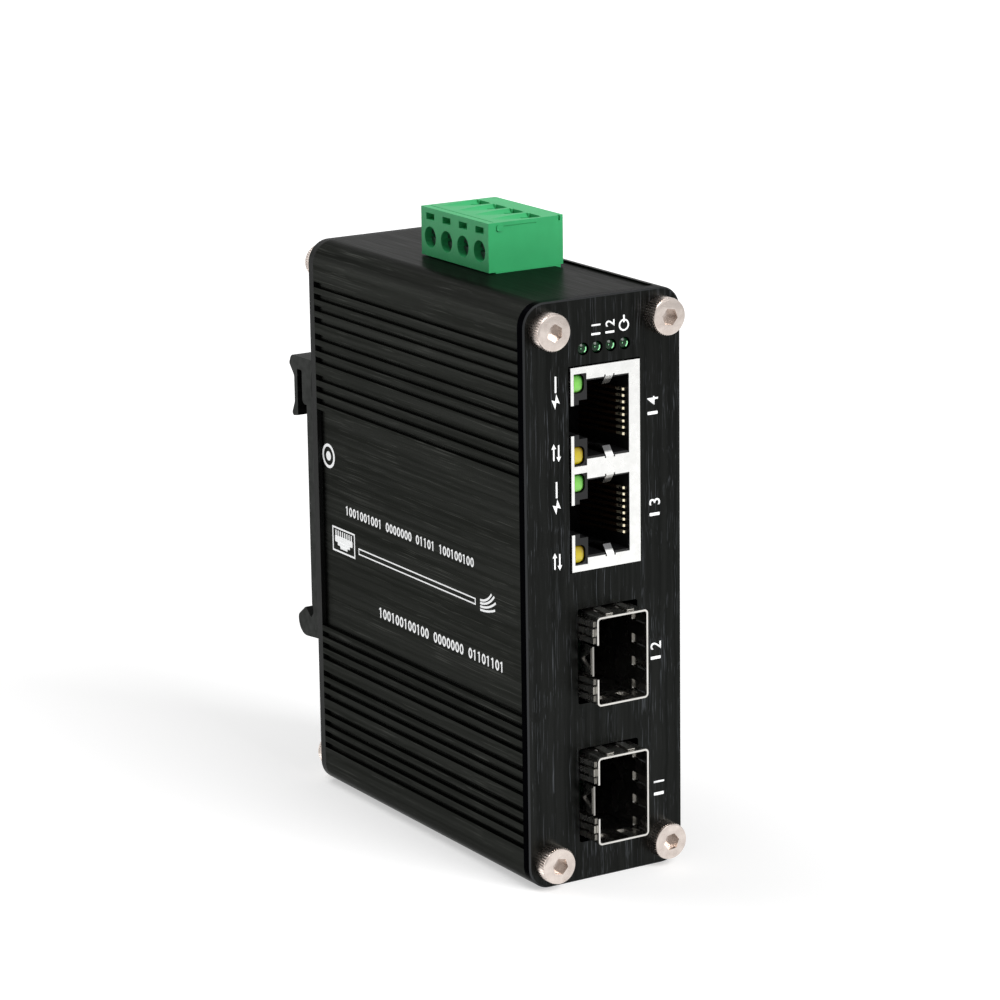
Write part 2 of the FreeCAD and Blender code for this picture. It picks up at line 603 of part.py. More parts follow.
def plug_housing():
    """The green plug: wire scoops on top, screw wells on the left, a keyed tongue below."""
    ys = around(POLE_MID_Y, PLUG_HALF_Y)
    block = box(PLUG_X, ys, PLUG_Z)
    block = block.makeFillet(0.45, [e for e in block.Edges if e.CenterOfMass.x > PLUG_X[1] - 0.01
                                    and abs(e.tangentAt(e.FirstParameter).z) > 0.99])
    tongue_y = around(POLE_MID_Y, HEADER_HALF_Y - 1.0)
    tongue = box((HEADER_X[0] + 1.25, HEADER_X[1] - 1.25), tongue_y, (86.0, PLUG_Z[0] + 0.2))
    keys = [box((HEADER_X[1] - 1.5, HEADER_X[1] - 0.75), around(y, 0.6), (87.0, PLUG_Z[0] + 0.2))
            for y in pole_ys()]
    knob = box((-4.0, -2.75), (ys[0] - 0.2, ys[0] + 0.2), (101.2, 102.25))
    knob = knob.makeFillet(0.35, [e for e in knob.Edges if abs(e.tangentAt(e.FirstParameter).y) > 0.99])
    body = join([block, tongue, knob] + keys)
    tools = [box((-2.6, 3.4), (ys[0] - 1, ys[0] + 0.15), (101.85, 102.0)),
             box((7.65, 7.95), (ys[0] - 1, ys[0] + 0.6), (101.75, PLUG_Z[1] + 1)),
             box((-4.25, -4.05), (ys[0] + 0.7, ys[1] - 0.7), (PLUG_Z[1] - 0.15, PLUG_Z[1] + 1))]
    for y in pole_ys():
        tools.append(box((-2.9, 7.6), around(y, 2.22), (95.45, 100.1)))
        tools.append(rod((PLUG_X[0] - 1, y, SCREW_AXIS_Z), (1, 0, 0), 1.75, 3.1))
        tools.append(rod((PLUG_X[0], y, SCREW_AXIS_Z), (1, 0, 0), 1.33, 4.0))
        tools.append(wire_entry(y))
        tools.append(box((PLUG_X[0] - 1, PLUG_X[0] + 1.3), around(y - 0.1, 1.25), (100.65, 101.75)))
        tools.append(box((0.7, 3.15), around(y, 1.4), (87.0, 96.0)))
        tools.append(box(around(PIN_X, 0.7), around(y, 0.7), (85.0, 88.0)))
    return cut_all(body, tools)


def plug_contacts():
    """Four contacts: a socket round each header pin and a flat bar through the clamp above."""
    contacts = []
    for y in pole_ys():
        socket = box((0.8, 3.05), around(y, 1.3), (87.1, 93.0))
        socket = socket.cut(box(around(PIN_X, 0.58), around(y, 0.58), (86.0, 92.4)))
        bar = box((2.25, 3.05), around(y, 1.2), (92.9, 100.0))
        contacts.append(socket.fuse(bar).removeSplitter())
    return Part.makeCompound(contacts)


def clamp_screw(y):
    """A slotted clamping screw: head in the plug's round well, shank into the clamp cage."""
    head = rod((-4.3, y, SCREW_AXIS_Z), (1, 0, 0), 1.65, 0.85)
    head = head.cut(box((-5, -3.8), around(y, 2), around(SCREW_AXIS_Z, 0.28)))
    shank = rod((-3.5, y, SCREW_AXIS_Z), (1, 0, 0), 1.25, 5.6)
    return head.fuse(shank)


def clamp_cage(y):
    """The square ring that the screw draws along X to trap the wire against the contact bar."""
    ring = box((1.1, 7.4), around(y, 2.05), (95.7, 99.9))
    ring = ring.cut(box((1.9, 6.6), around(y, 1.4), (95.0, 101.0)))
    return ring.cut(rod((0, y, SCREW_AXIS_Z), (1, 0, 0), 1.32, 2.5))


# ------------------------------------------------------------------ parts soldered to the board
def chip(xs, mid_y, mid_z, half):
    """A flat chip package with a bevelled upper edge."""
    body = box(xs, around(mid_y, half), around(mid_z, half))
    outer_x = xs[1] if xs[1] > BOARD_X[1] + 0.1 else xs[0]
    edges = [e for e in body.Edges if abs(e.CenterOfMass.x - outer_x) < 1e-6]
    return body.makeChamfer(0.2, edges)


def capacitor(mid_y, mid_z):
    """A can capacitor standing on the board on its square base."""
    base = box((BOARD_X[1], BOARD_X[1] + 0.8), around(mid_y, 4.2), around(mid_z, 4.2))
    return join([base, rod((BOARD_X[1] + 0.5, mid_y, mid_z), (1, 0, 0), 4.0, 10.5)])


def transformer_core():
    """The power transformer's ferrite core, a square ring round the winding."""
    core = box((BOARD_X[1] + 0.6, BOARD_X[1] + 10.6), (25.0, 38.0), (57.0, 71.0))
    return core.cut(box((BOARD_X[1] + 2.6, BOARD_X[1] + 8.6), (24.0, 39.0), (59.5, 68.5)))


def transformer_winding():
    """The taped winding and its bobbin inside the core."""
    coil = rounded((BOARD_X[1] + 2.7, BOARD_X[1] + 8.5), (59.6, 68.4), 1.2, (23.5, 39.5))
    feet = [box((BOARD_X[1], BOARD_X[1] + 3.5), ys, (60.0, 68.0)) for ys in ((22.6, 24.4), (38.6, 40.4))]
    return join([coil] + feet)


def main():
    """Build every piece and write it out."""
    os.makedirs("parts", exist_ok=True)
    profile, cover = case_profiles()
    export("main_profile", profile)
    export("cover_profile", cover)
    export("front_panel", front_panel())
    export("rear_panel", rear_panel())
    export("front_screws", Part.makeCompound([cap_screw(x, z, 0, -1) for x, z in corners()]))
    export("rear_screws", Part.makeCompound([cap_screw(x, z, DEPTH, 1) for x, z in corners()]))
    export("rail_clip", rail_clip())
    export("clip_screws", Part.makeCompound([clip_screw(side) for side in (-1, 1)]))
    export("main_board", main_board())
    export("jack_shield", jack_shield())
    export("jack_insert", jack_insert())
    export("jack_contacts", jack_contacts())
    export("jack_lamps_green", jack_lamps(1))
    export("jack_lamps_yellow", jack_lamps(-1))
    for name, mid in CAGE_MIDS.items():
        export("cage_" + name, fibre_cage(mid))
        export("cage_collar_" + name, Part.makeCompound([finger_collar(mid)] + small_strips(mid)))
        export("fibre_socket_" + name, fibre_socket(mid))
    export("lamp_block", lamp_block())
    export("status_lamps", status_lamps())
    export("terminal_header", terminal_header())
    export("header_pins", header_pins())
    export("plug_housing", plug_housing())
    export("plug_contacts", plug_contacts())
    for k, y in enumerate(pole_ys(), 1):
        export("clamp_screw_%d" % k, clamp_screw(y))
        export("clamp_cage_%d" % k, clamp_cage(y))
    export("switch_chip", chip((BOARD_X[1], BOARD_X[1] + 1.4), 54.5, 32.0, 7.0))
    phy = [chip((BOARD_X[0] - 1.2, BOARD_X[0]), 32.0, z, 4.5) for z in (58.0, 76.0)]
    export("phy_chips", Part.makeCompound(phy))
    export("capacitors", Part.makeCompound([capacitor(y, 76.0) for y in (49.5, 58.5)]))
    export("transformer_core", transformer_core())
    export("transformer_winding", transformer_winding())
    export("power_inductor", rounded((BOARD_X[1], BOARD_X[1] + 5.0), (56.0, 66.0), 1.5, (46.0, 56.0)))


main()
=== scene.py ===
"""Looks of a slim fibre media converter: finishes, printed marks, small trim, studio and camera.

Lengths are in metres, but in millimetres where a name ends in _mm and in all that is drawn on a Print.
X runs to the right, Y away from the front face and Z up, with the origin at the centre of the base.
"""
import logging
import math
from dataclasses import dataclass, field
from enum import Enum

import bpy
from mathutils import Matrix, Vector


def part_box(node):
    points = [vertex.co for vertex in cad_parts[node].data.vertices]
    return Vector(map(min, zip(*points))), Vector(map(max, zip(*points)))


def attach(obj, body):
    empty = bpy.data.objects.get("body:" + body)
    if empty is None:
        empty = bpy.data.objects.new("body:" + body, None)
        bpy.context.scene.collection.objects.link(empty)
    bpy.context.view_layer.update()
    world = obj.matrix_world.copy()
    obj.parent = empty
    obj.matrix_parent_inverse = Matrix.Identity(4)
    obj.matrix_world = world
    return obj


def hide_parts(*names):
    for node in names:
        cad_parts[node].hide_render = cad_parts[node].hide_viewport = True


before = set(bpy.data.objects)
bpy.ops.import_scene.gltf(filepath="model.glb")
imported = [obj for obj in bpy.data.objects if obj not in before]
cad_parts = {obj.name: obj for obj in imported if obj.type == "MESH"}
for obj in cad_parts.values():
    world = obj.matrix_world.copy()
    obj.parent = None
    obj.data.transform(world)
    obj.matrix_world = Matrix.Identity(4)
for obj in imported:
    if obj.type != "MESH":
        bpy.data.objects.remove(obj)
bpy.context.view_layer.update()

logging.basicConfig(level=logging.INFO, format="%(message)s")
log = logging.getLogger("converter")

MM = 0.001
Colour = tuple[float, float, float, float]
Point = tuple[float, float]
Triple = tuple[float, float, float]


class Axis(Enum):
    """A direction of the part's frame, as the index of its coordinate."""

    X = 0
    Y = 1
    Z = 2


def linear(code: str) -> Colour:
    """Turn an sRGB hex colour into a linear one.

    Args:
        code: The colour as "#rrggbb".

    Returns:
        Red, green, blue and an alpha of 1.
    """
    parts = [int(code[i:i + 2], 16) / 255 for i in (1, 3, 5)]
    red, green, blue = [c / 12.92 if c <= 0.04045 else ((c + 0.055) / 1.055) ** 2.4 for c in parts]
    return red, green, blue, 1.0


def feed(tree: bpy.types.NodeTree, node: bpy.types.Node, inputs: dict) -> None:
    """Set a node's inputs to values, or link them to the outputs of other nodes.

    Args:
        tree: The tree that holds the node.
        node: The node to feed.
        inputs: Values or output sockets by the name or number of the input that they go to.
    """
    for key, value in inputs.items():
        if isinstance(value, bpy.types.NodeSocket):
            tree.links.new(value, node.inputs[key])
        else:
            node.inputs[key].default_value = value


def add(tree: bpy.types.NodeTree, kind: str, inputs: dict | None = None,
        **settings: object) -> bpy.types.Node:
    """Add a node to a tree with its settings, values and links.

    Args:
        tree: The tree that takes the node.
        kind: The node type's identifier.
        inputs: Values or output sockets by the name or number of the input that they go to.
        **settings: Properties of the node itself.

    Returns:
        The new node.
    """
    node = tree.nodes.new(kind)
    for name, value in settings.items():
        setattr(node, name, value)
    feed(tree, node, inputs or {})
    return node


# ---- finishes ----

# Nearly all values of a noise texture lie between these two.
SPREAD = {"From Min": 0.3, "From Max": 0.7}
# The lip_y of a metal that has no lip: a place behind the whole part.
NO_LIP = 1.0


@dataclass(frozen=True)
class Finish:
    """A surface finish: the name of the real material and how its nodes are made."""

    name: str

    def wire(self, tree: bpy.types.NodeTree, shader: bpy.types.Node) -> None:
        """Set and link the shader's sockets.

        Args:
            tree: The material's node tree.
            shader: Its Principled BSDF.
        """
        raise NotImplementedError

    def material(self) -> bpy.types.Material:
        """Give the material of this finish, made once.

        Returns:
            The Blender material.
        """
        known = bpy.data.materials.get(self.name)
        if known:
            return known
        made = bpy.data.materials.new(self.name)
        made.use_nodes = True
        self.wire(made.node_tree, made.node_tree.nodes["Principled BSDF"])
        return made


@dataclass(frozen=True)
class BrushedAnodised(Finish):
    """Black anodised aluminium, brushed before it was dyed: fine wavy streaks along one axis.

    The streaks are drawn coarser than real brushing, so that they show. On a plate the bevelled edges get a
    painted highlight, and the sawn sides painted shade.
    """

    along: Axis
    dark: str
    band: str
    streak: str
    grain_mm: float = 0.17
    length_mm: float = 9.0
    band_scale: float = 0.22
    wave_mm: float = 0.35
    wave_every_mm: float = 7.0
    patch_mm: float = 11.0
    patch_weight: float = 0.22
    hair_from: float = 0.70
    hair_to: float = 0.92
    roughness: float = 0.34
    gloss_drift: Point = (-0.06, 0.08)
    depth_mm: float = 0.010
    metallic: float = 1.0
    edge_tint: float = 0.46
    plate: bool = False
    # A plate's painted highlight on its bevelled edges, and its painted shade on its sawn sides.
    painted_bevel_highlight: str = "#333435"
    painted_side_shade: str = "#08080a"
    bevel_slope: float = 0.71
    slope_margin: float = 0.12
    side_slope: float = 0.5

    def wire(self, tree: bpy.types.NodeTree, shader: bpy.types.Node) -> None:
        """Streaks in colour, roughness and height, gathered in patches over bands of tone. On a plate, a
        painted highlight on the bevels and painted shade on the sawn sides.

        Args:
            tree: The material's node tree.
            shader: Its Principled BSDF.
        """
        spot = add(tree, "ShaderNodeTexCoord")
        drift = add(tree, "ShaderNodeTexNoise", {"Vector": spot.outputs["Object"], "Detail": 1.0,
                                                 "Scale": 1 / (self.wave_every_mm * MM)})
        centred = add(tree, "ShaderNodeVectorMath", {0: drift.outputs["Color"], 1: (0.5, 0.5, 0.5)},
                      operation="SUBTRACT")
        waved = add(tree, "ShaderNodeVectorMath", {0: centred.outputs[0], 1: (2 * self.wave_mm * MM,) * 3,
                                                   2: spot.outputs["Object"]}, operation="MULTIPLY_ADD")
        scale = [1 / (self.grain_mm * MM)] * 3
        scale[self.along.value] = 1 / (self.length_mm * MM)
        combed = add(tree, "ShaderNodeMapping", {"Vector": waved.outputs[0], "Scale": scale})
        lines = add(tree, "ShaderNodeTexNoise", {"Vector": combed.outputs[0], "Scale": 1.0, "Detail": 2.0,
                                                 "Roughness": 0.6})
        wide = add(tree, "ShaderNodeTexNoise", {"Vector": combed.outputs[0], "Scale": self.band_scale,
                                                "Detail": 2.0})
        patch = add(tree, "ShaderNodeTexNoise", {"Vector": spot.outputs["Object"], "Detail": 1.0,
                                                 "Scale": 1 / (self.patch_mm * MM)})
        gathered = add(tree, "ShaderNodeMath", {0: patch.outputs["Fac"], 1: self.patch_weight,
                                                2: lines.outputs["Fac"]}, operation="MULTIPLY_ADD")
        hair = add(tree, "ShaderNodeMapRange", {"Value": gathered.outputs[0], "From Min": self.hair_from,
                                                "From Max": self.hair_to})
        tone = add(tree, "ShaderNodeMapRange", {"Value": wide.outputs["Fac"], "From Min": 0.35,
                                                "From Max": 0.65})
        face = add(tree, "ShaderNodeMix", {0: tone.outputs[0], 6: linear(self.dark), 7: linear(self.band)},
                   data_type="RGBA")
        face = add(tree, "ShaderNodeMix", {0: hair.outputs[0], 6: face.outputs[2], 7: linear(self.streak)},
                   data_type="RGBA")
        # On a plate the face's normal picks a painted highlight for the bevels and painted shade for the
        # sawn sides.
        if self.plate:
            way = add(tree, "ShaderNodeSeparateXYZ", {0: spot.outputs["Normal"]})
            square = add(tree, "ShaderNodeMath", {0: way.outputs["Y"]}, operation="ABSOLUTE")
            bevel_highlight_share = add(tree, "ShaderNodeMath", {0: square.outputs[0], 1: self.bevel_slope,
                                                2: self.slope_margin}, operation="COMPARE")
            side = add(tree, "ShaderNodeMath", {0: square.outputs[0], 1: self.side_slope},
                       operation="LESS_THAN")
            for share, tint in ((bevel_highlight_share, self.painted_bevel_highlight), (side, self.painted_side_shade)):
                face = add(tree, "ShaderNodeMix", {0: share.outputs[0], 6: face.outputs[2],
                                                   7: linear(tint)}, data_type="RGBA")
        gloss = add(tree, "ShaderNodeMapRange", {"Value": lines.outputs["Fac"], **SPREAD,
                                                 "To Min": self.roughness + self.gloss_drift[0],
                                                 "To Max": self.roughness + self.gloss_drift[1]})
        bump = add(tree, "ShaderNodeBump", {"Height": lines.outputs["Fac"], "Strength": 0.35,
                                            "Distance": self.depth_mm * MM})
        feed(tree, shader, {"Base Color": face.outputs[2], "Roughness": gloss.outputs[0],
                            "Normal": bump.outputs[0], "Metallic": self.metallic,
                            "Specular Tint": (self.edge_tint,) * 3 + (1.0,)})


@dataclass(frozen=True)
class PlatedMetal(Finish):
    """Plated or tinned metal: bright, with a faint cloudiness in its gloss.

    A folded sheet can be painted darker from a little way behind its front lip, which lies at lip_y: painted
    shade inside the opening.
    """

    colour: str
    shade: str
    roughness: float = 0.22
    gloss_drift: Point = (-0.04, 0.06)
    cloud_mm: float = 1.4
    dent_mm: float = 0.003
    dent_every_mm: float = 0.5
    lip_y: float = NO_LIP
    lip_fade_mm: float = 0.3
    # The colour painted behind the lip, as shade.
    behind: str = "#8b8985"

    def wire(self, tree: bpy.types.NodeTree, shader: bpy.types.Node) -> None:
        """Clouded roughness, a slight drift of colour, painted shade behind the lip and a fine unevenness.

        Args:
            tree: The material's node tree.
            shader: Its Principled BSDF.
        """
        spot = add(tree, "ShaderNodeTexCoord").outputs["Object"]
        cloud = add(tree, "ShaderNodeTexNoise", {"Vector": spot, "Scale": 1 / (self.cloud_mm * MM),
                                                 "Detail": 3.0})
        share = add(tree, "ShaderNodeMapRange", {"Value": cloud.outputs["Fac"], **SPREAD})
        colour = add(tree, "ShaderNodeMix", {0: share.outputs[0], 6: linear(self.colour),
                                             7: linear(self.shade)}, data_type="RGBA")
        # Painted shade: from the lip inwards the colour turns to the behind colour.
        place = add(tree, "ShaderNodeSeparateXYZ", {0: spot})
        deep = add(tree, "ShaderNodeMapRange", {"Value": place.outputs["Y"], "From Min": self.lip_y,
                                                "From Max": self.lip_y + self.lip_fade_mm * MM})
        colour = add(tree, "ShaderNodeMix", {0: deep.outputs[0], 6: colour.outputs[2],
                                             7: linear(self.behind)}, data_type="RGBA")
        gloss = add(tree, "ShaderNodeMapRange", {"Value": cloud.outputs["Fac"], **SPREAD,
                                                 "To Min": self.roughness + self.gloss_drift[0],
                                                 "To Max": self.roughness + self.gloss_drift[1]})
        fine = add(tree, "ShaderNodeTexNoise", {"Vector": spot, "Scale": 1 / (self.dent_every_mm * MM),
                                                "Detail": 1.0})
        bump = add(tree, "ShaderNodeBump", {"Height": fine.outputs["Fac"], "Strength": 0.3,
                                            "Distance": self.dent_mm * MM})
        feed(tree, shader, {"Base Color": colour.outputs[2], "Roughness": gloss.outputs[0],
                            "Normal": bump.outputs[0], "Metallic": 1.0})


@dataclass(frozen=True)
class TippedWire(Finish):
    """Spring bronze wire, bright where its front end is plated, and behind it a dark brown that is partly
    the bronze and partly painted shade inside the jack.
    """

    front: float
    plating: str = "#f1e6c8"
    # Dark brown behind the plating: partly the bronze's own colour, partly painted shade.
    bronze: str = "#2b1d12"
    plated_mm: float = 1.3
    fade_mm: float = 0.3
    draw_mark_mm: float = 0.3
    bronze_dulling: float = 0.25

    def wire(self, tree: bpy.types.NodeTree, shader: bpy.types.Node) -> None:
        """The plating ends a little way behind the wires' front ends; behind it the colour is dark, partly
        as painted shade.

        Args:
            tree: The material's node tree.
            shader: Its Principled BSDF.
        """
        spot = add(tree, "ShaderNodeTexCoord").outputs["Object"]
        place = add(tree, "ShaderNodeSeparateXYZ", {0: spot})
        end = self.front + self.plated_mm * MM
        fade = self.fade_mm * MM
        bare_and_shaded = add(tree, "ShaderNodeMapRange", {"Value": place.outputs["Y"], "From Min": end - fade,
                                                "From Max": end + fade})
        drawn = add(tree, "ShaderNodeTexNoise", {"Vector": spot, "Scale": 1 / (self.draw_mark_mm * MM),
                                                 "Detail": 2.0})
        dull = add(tree, "ShaderNodeMapRange", {"Value": drawn.outputs["Fac"], **SPREAD, "To Min": 0.22,
                                                "To Max": 0.4})
        gloss = add(tree, "ShaderNodeMath", {0: bare_and_shaded.outputs[0], 1: self.bronze_dulling,
                                             2: dull.outputs[0]}, operation="MULTIPLY_ADD")
        colour = add(tree, "ShaderNodeMix", {0: bare_and_shaded.outputs[0], 6: linear(self.plating),
                                             7: linear(self.bronze)}, data_type="RGBA")
        feed(tree, shader, {"Base Color": colour.outputs[2], "Roughness": gloss.outputs[0],
                            "Metallic": 1.0})


@dataclass(frozen=True)
class MouldedPlastic(Finish):
    """Injection-moulded plastic: the spark-eroded texture of its mould, drawn coarse enough to show."""

    colour: str
    shade: str
    roughness: float = 0.45
    gloss_drift: Point = (-0.05, 0.07)
    texture_mm: float = 0.12
    depth_mm: float = 0.010
    drift_mm: float = 4.5
    glow: float = 0.0
    glow_reach: Triple = (0.0006, 0.0010, 0.0007)
    specular: float = 0.5

    def wire(self, tree: bpy.types.NodeTree, shader: bpy.types.Node) -> None:
        """Even grain in height and roughness over a slow drift of colour.

        Args:
            tree: The material's node tree.
            shader: Its Principled BSDF.
        """
        spot = add(tree, "ShaderNodeTexCoord").outputs["Object"]
        drift = add(tree, "ShaderNodeTexNoise", {"Vector": spot, "Scale": 1 / (self.drift_mm * MM),
                                                 "Detail": 3.0})
        share = add(tree, "ShaderNodeMapRange", {"Value": drift.outputs["Fac"], **SPREAD})
        colour = add(tree, "ShaderNodeMix", {0: share.outputs[0], 6: linear(self.colour),
                                             7: linear(self.shade)}, data_type="RGBA")
        grain = add(tree, "ShaderNodeTexNoise", {"Vector": spot, "Scale": 1 / (self.texture_mm * MM),
                                                 "Detail": 2.0})
        gloss = add(tree, "ShaderNodeMapRange", {"Value": grain.outputs["Fac"], **SPREAD,
                                                 "To Min": self.roughness + self.gloss_drift[0],
                                                 "To Max": self.roughness + self.gloss_drift[1]})
        bump = add(tree, "ShaderNodeBump", {"Height": grain.outputs["Fac"], "Strength": 0.35,
                                            "Distance": self.depth_mm * MM})
        feed(tree, shader, {"Base Color": colour.outputs[2], "Roughness": gloss.outputs[0],
                            "Normal": bump.outputs[0], "Subsurface Weight": self.glow,
                            "Subsurface Radius": self.glow_reach, "Specular IOR Level": self.specular})


@dataclass(frozen=True)
class LampLens(Finish):
    """Dyed clear epoxy of a small lamp: glossy, with painted shade on the flank that turns one way."""

    body: str
    # The flank's colour is painted shade, on the side that turns that way.
    flank: str
    flank_way: Triple = (1.0, 0.0, 0.0)
    flank_from: float = 0.25
    flank_to: float = 0.8
    cloud_mm: float = 0.8
    cloud_weight: float = 0.2
    light: float = 0.1
    roughness: float = 0.12
    specular: float = 0.5

    def wire(self, tree: bpy.types.NodeTree, shader: bpy.types.Node) -> None:
        """The flank's painted shade comes in where the lens turns that way; both glow faintly from inside.

        Args:
            tree: The material's node tree.
            shader: Its Principled BSDF.
        """
        spot = add(tree, "ShaderNodeTexCoord")
        cloud = add(tree, "ShaderNodeTexNoise", {"Vector": spot.outputs["Object"], "Detail": 1.0,
                                                 "Scale": 1 / (self.cloud_mm * MM)})
        # Painted shade: the flank's colour comes in where the normal leans the flank's way.
        leans = add(tree, "ShaderNodeVectorMath", {0: spot.outputs["Normal"], 1: self.flank_way},
                    operation="DOT_PRODUCT")
        uneven = add(tree, "ShaderNodeMath", {0: cloud.outputs["Fac"], 1: self.cloud_weight,
                                              2: leans.outputs["Value"]}, operation="MULTIPLY_ADD")
        mean_cloud = self.cloud_weight / 2
        share = add(tree, "ShaderNodeMapRange", {"Value": uneven.outputs[0],
                                                 "From Min": self.flank_from + mean_cloud,
                                                 "From Max": self.flank_to + mean_cloud})
        colour = add(tree, "ShaderNodeMix", {0: share.outputs[0], 6: linear(self.body),
                                             7: linear(self.flank)}, data_type="RGBA")
        feed(tree, shader, {"Base Color": colour.outputs[2], "Emission Color": colour.outputs[2],
                            "Emission Strength": self.light, "Roughness": self.roughness,
                            "Specular IOR Level": self.specular})


@dataclass(frozen=True)
class SolderMask(Finish):
    """Glass-epoxy board under green solder mask: tracks show as lighter lines under the gloss."""

    mask: str = "#0d4a2c"
    track: str = "#1b6a40"
    track_mm: float = 0.9
    copper_mm: float = 0.03

    def wire(self, tree: bpy.types.NodeTree, shader: bpy.types.Node) -> None:
        """A pattern of right-angled cells stands for the copper under the mask.

        Args:
            tree: The material's node tree.
            shader: Its Principled BSDF.
        """
        spot = add(tree, "ShaderNodeTexCoord").outputs["Object"]
        cells = add(tree, "ShaderNodeTexVoronoi", {"Vector": spot, "Scale": 1 / (self.track_mm * MM)},
                    distance="CHEBYCHEV")
        copper = add(tree, "ShaderNodeMapRange", {"Value": cells.outputs["Distance"], "From Min": 0.30,
                                                  "From Max": 0.36, "To Min": 1.0, "To Max": 0.0})
        colour = add(tree, "ShaderNodeMix", {0: copper.outputs[0], 6: linear(self.mask),
                                             7: linear(self.track)}, data_type="RGBA")
        bump = add(tree, "ShaderNodeBump", {"Height": copper.outputs[0], "Strength": 0.4,
                                            "Distance": self.copper_mm * MM})
        feed(tree, shader, {"Base Color": colour.outputs[2], "Normal": bump.outputs[0], "Roughness": 0.3})


@dataclass(frozen=True)
class ScreenInk(Finish):
    """White screen-printed ink: flat and opaque, a touch uneven where the screen's mesh lay, with a painted
    glow.
    """

    colour: str = "#eceded"
    thin: str = "#bcbebe"
    mesh_mm: float = 0.16
    film_mm: float = 0.01
    # Strength of the ink's painted glow.
    light: float = 0.42

    def wire(self, tree: bpy.types.NodeTree, shader: bpy.types.Node) -> None:
        """A faint unevenness in tone and height, and a painted glow in the ink's colour.

        Args:
            tree: The material's node tree.
            shader: Its Principled BSDF.
        """
        spot = add(tree, "ShaderNodeTexCoord").outputs["Object"]
        speck = add(tree, "ShaderNodeTexNoise", {"Vector": spot, "Scale": 1 / (self.mesh_mm * MM),
                                                 "Detail": 2.0})
        share = add(tree, "ShaderNodeMapRange", {"Value": speck.outputs["Fac"], **SPREAD, "To Max": 0.25})
        colour = add(tree, "ShaderNodeMix", {0: share.outputs[0], 6: linear(self.colour),
                                             7: linear(self.thin)}, data_type="RGBA")
        bump = add(tree, "ShaderNodeBump", {"Height": speck.outputs["Fac"], "Strength": 0.2,
                                            "Distance": self.film_mm * MM})
        # The emission is painted light: the ink glows in its own colour.
        feed(tree, shader, {"Base Color": colour.outputs[2], "Normal": bump.outputs[0],
                            "Emission Color": colour.outputs[2], "Emission Strength": self.light,
                            "Roughness": 0.55})


# Brushed, then dyed black: a satin black with combed streaks along the extrusion.
BRUSHED_CASE = BrushedAnodised("anodised_aluminium_brushed_lengthways", Axis.Y, dark="#20211f",
                               band="#292a28", streak="#40413e", length_mm=16.0, wave_mm=0.15)
# The front plate is brushed upright, harder, so that its streaks show singly.
BRUSHED_PANEL = BrushedAnodised("anodised_aluminium_brushed_upright", Axis.Z, dark="#181918",
                                band="#1f201f", streak="#55585c", length_mm=14.0, hair_from=0.71,
                                hair_to=0.95, plate=True)
# The rear plate faces the rail. It was blasted after brushing: dull, with only a trace of streaks.
BLASTED_PANEL = BrushedAnodised("anodised_aluminium_blasted", Axis.Z, dark="#131413", band="#181918",
                                streak="#232423", metallic=0.6, roughness=0.45)
# The clip keeps the straight marks of its extrusion die: coarser, and lighter than the case.
ANODISED_CLIP = BrushedAnodised("anodised_aluminium_extruded", Axis.X, dark="#2f302f", band="#373837",
                                streak="#464745", grain_mm=0.3, wave_mm=0.05)
# Dull nickel over steel: a warm grey that spreads its highlights.
NICKEL_STEEL = PlatedMetal("nickel_plated_steel", "#cdc3bc", "#b9aea7", roughness=0.24)
# Tin over brass sheet: near white, with a soft sheen.
TINNED_SHEET = PlatedMetal("tinned_brass_sheet", "#f0f0ee", "#e4e4e2", roughness=0.28)
# The shield's own tin stays bright on its face, and from the bends inwards it is painted dark as shade.
SHIELD_SHEET = PlatedMetal("tinned_shield_sheet", "#e6e6e4", "#dadad8", roughness=0.28, behind="#5c5c5d",
                           lip_y=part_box("jack_shield")[0].y + 0.3 * MM)
# Nickel silver sheet, bright along its sheared lip and painted dark behind it as shade inside the cage.
CAGE_SHEET = PlatedMetal("nickel_silver_sheet", "#c9c7c3", "#bcbab5", roughness=0.26, cloud_mm=3.0,
                         lip_y=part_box("cage_upper")[0].y + 0.35 * MM)
# The collar's fingers get no painted shade, and stay brighter than the cage, which is painted dark behind
# its lip.
COLLAR_SHEET = PlatedMetal("nickel_silver_spring_sheet", "#b9b7b2", "#aaa8a3", roughness=0.26, cloud_mm=3.0)
# The wires of the jack are plated at their front ends, which show as bright points in its dark mouth; behind
# them the wires are painted dark, partly as shade.
CONTACT_WIRE = TippedWire("spring_bronze_with_plated_tips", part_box("jack_contacts")[0].y)
# Zinc over steel: a plain grey, darker than nickel. Part of that darkness is painted shade, for the clamp
# screws deep in the plug's wells.
ZINC_STEEL = PlatedMetal("zinc_plated_steel", "#828385", "#6a6b6e", roughness=0.3)
# Green polyamide, satin from the mould, which lets a little light into its edges.
GREEN_POLYAMIDE = MouldedPlastic("green_polyamide", "#38ae6c", "#33a565", roughness=0.5, glow=0.12,
                                 specular=0.3)
# Black polyester of the jack's and the cages' inner blocks: it lets their mouths read as dark openings.
BLACK_POLYESTER = MouldedPlastic("black_polyester", "#0c0c0d", "#121213", roughness=0.4, specular=0.3)
# Dark polycarbonate that holds the status lamps: smoother, and as dark.
SMOKE_POLYCARBONATE = MouldedPlastic("dark_polycarbonate", "#0b0d0e", "#0f1112", roughness=0.3, specular=0.3)
# Epoxy packages of the chips, dull from their mould.
CHIP_EPOXY = MouldedPlastic("moulded_epoxy", "#1b1c1e", "#222325", roughness=0.6)
# Pressed and fired ferrite: a matt dark grey with a rough skin.
FERRITE = MouldedPlastic("sintered_ferrite", "#2a2a2c", "#343436", roughness=0.7, depth_mm=0.03)
# The film that wraps the winding: a smooth amber.
WINDING_TAPE = MouldedPlastic("polyester_winding_tape", "#b8912f", "#a98325", roughness=0.35)
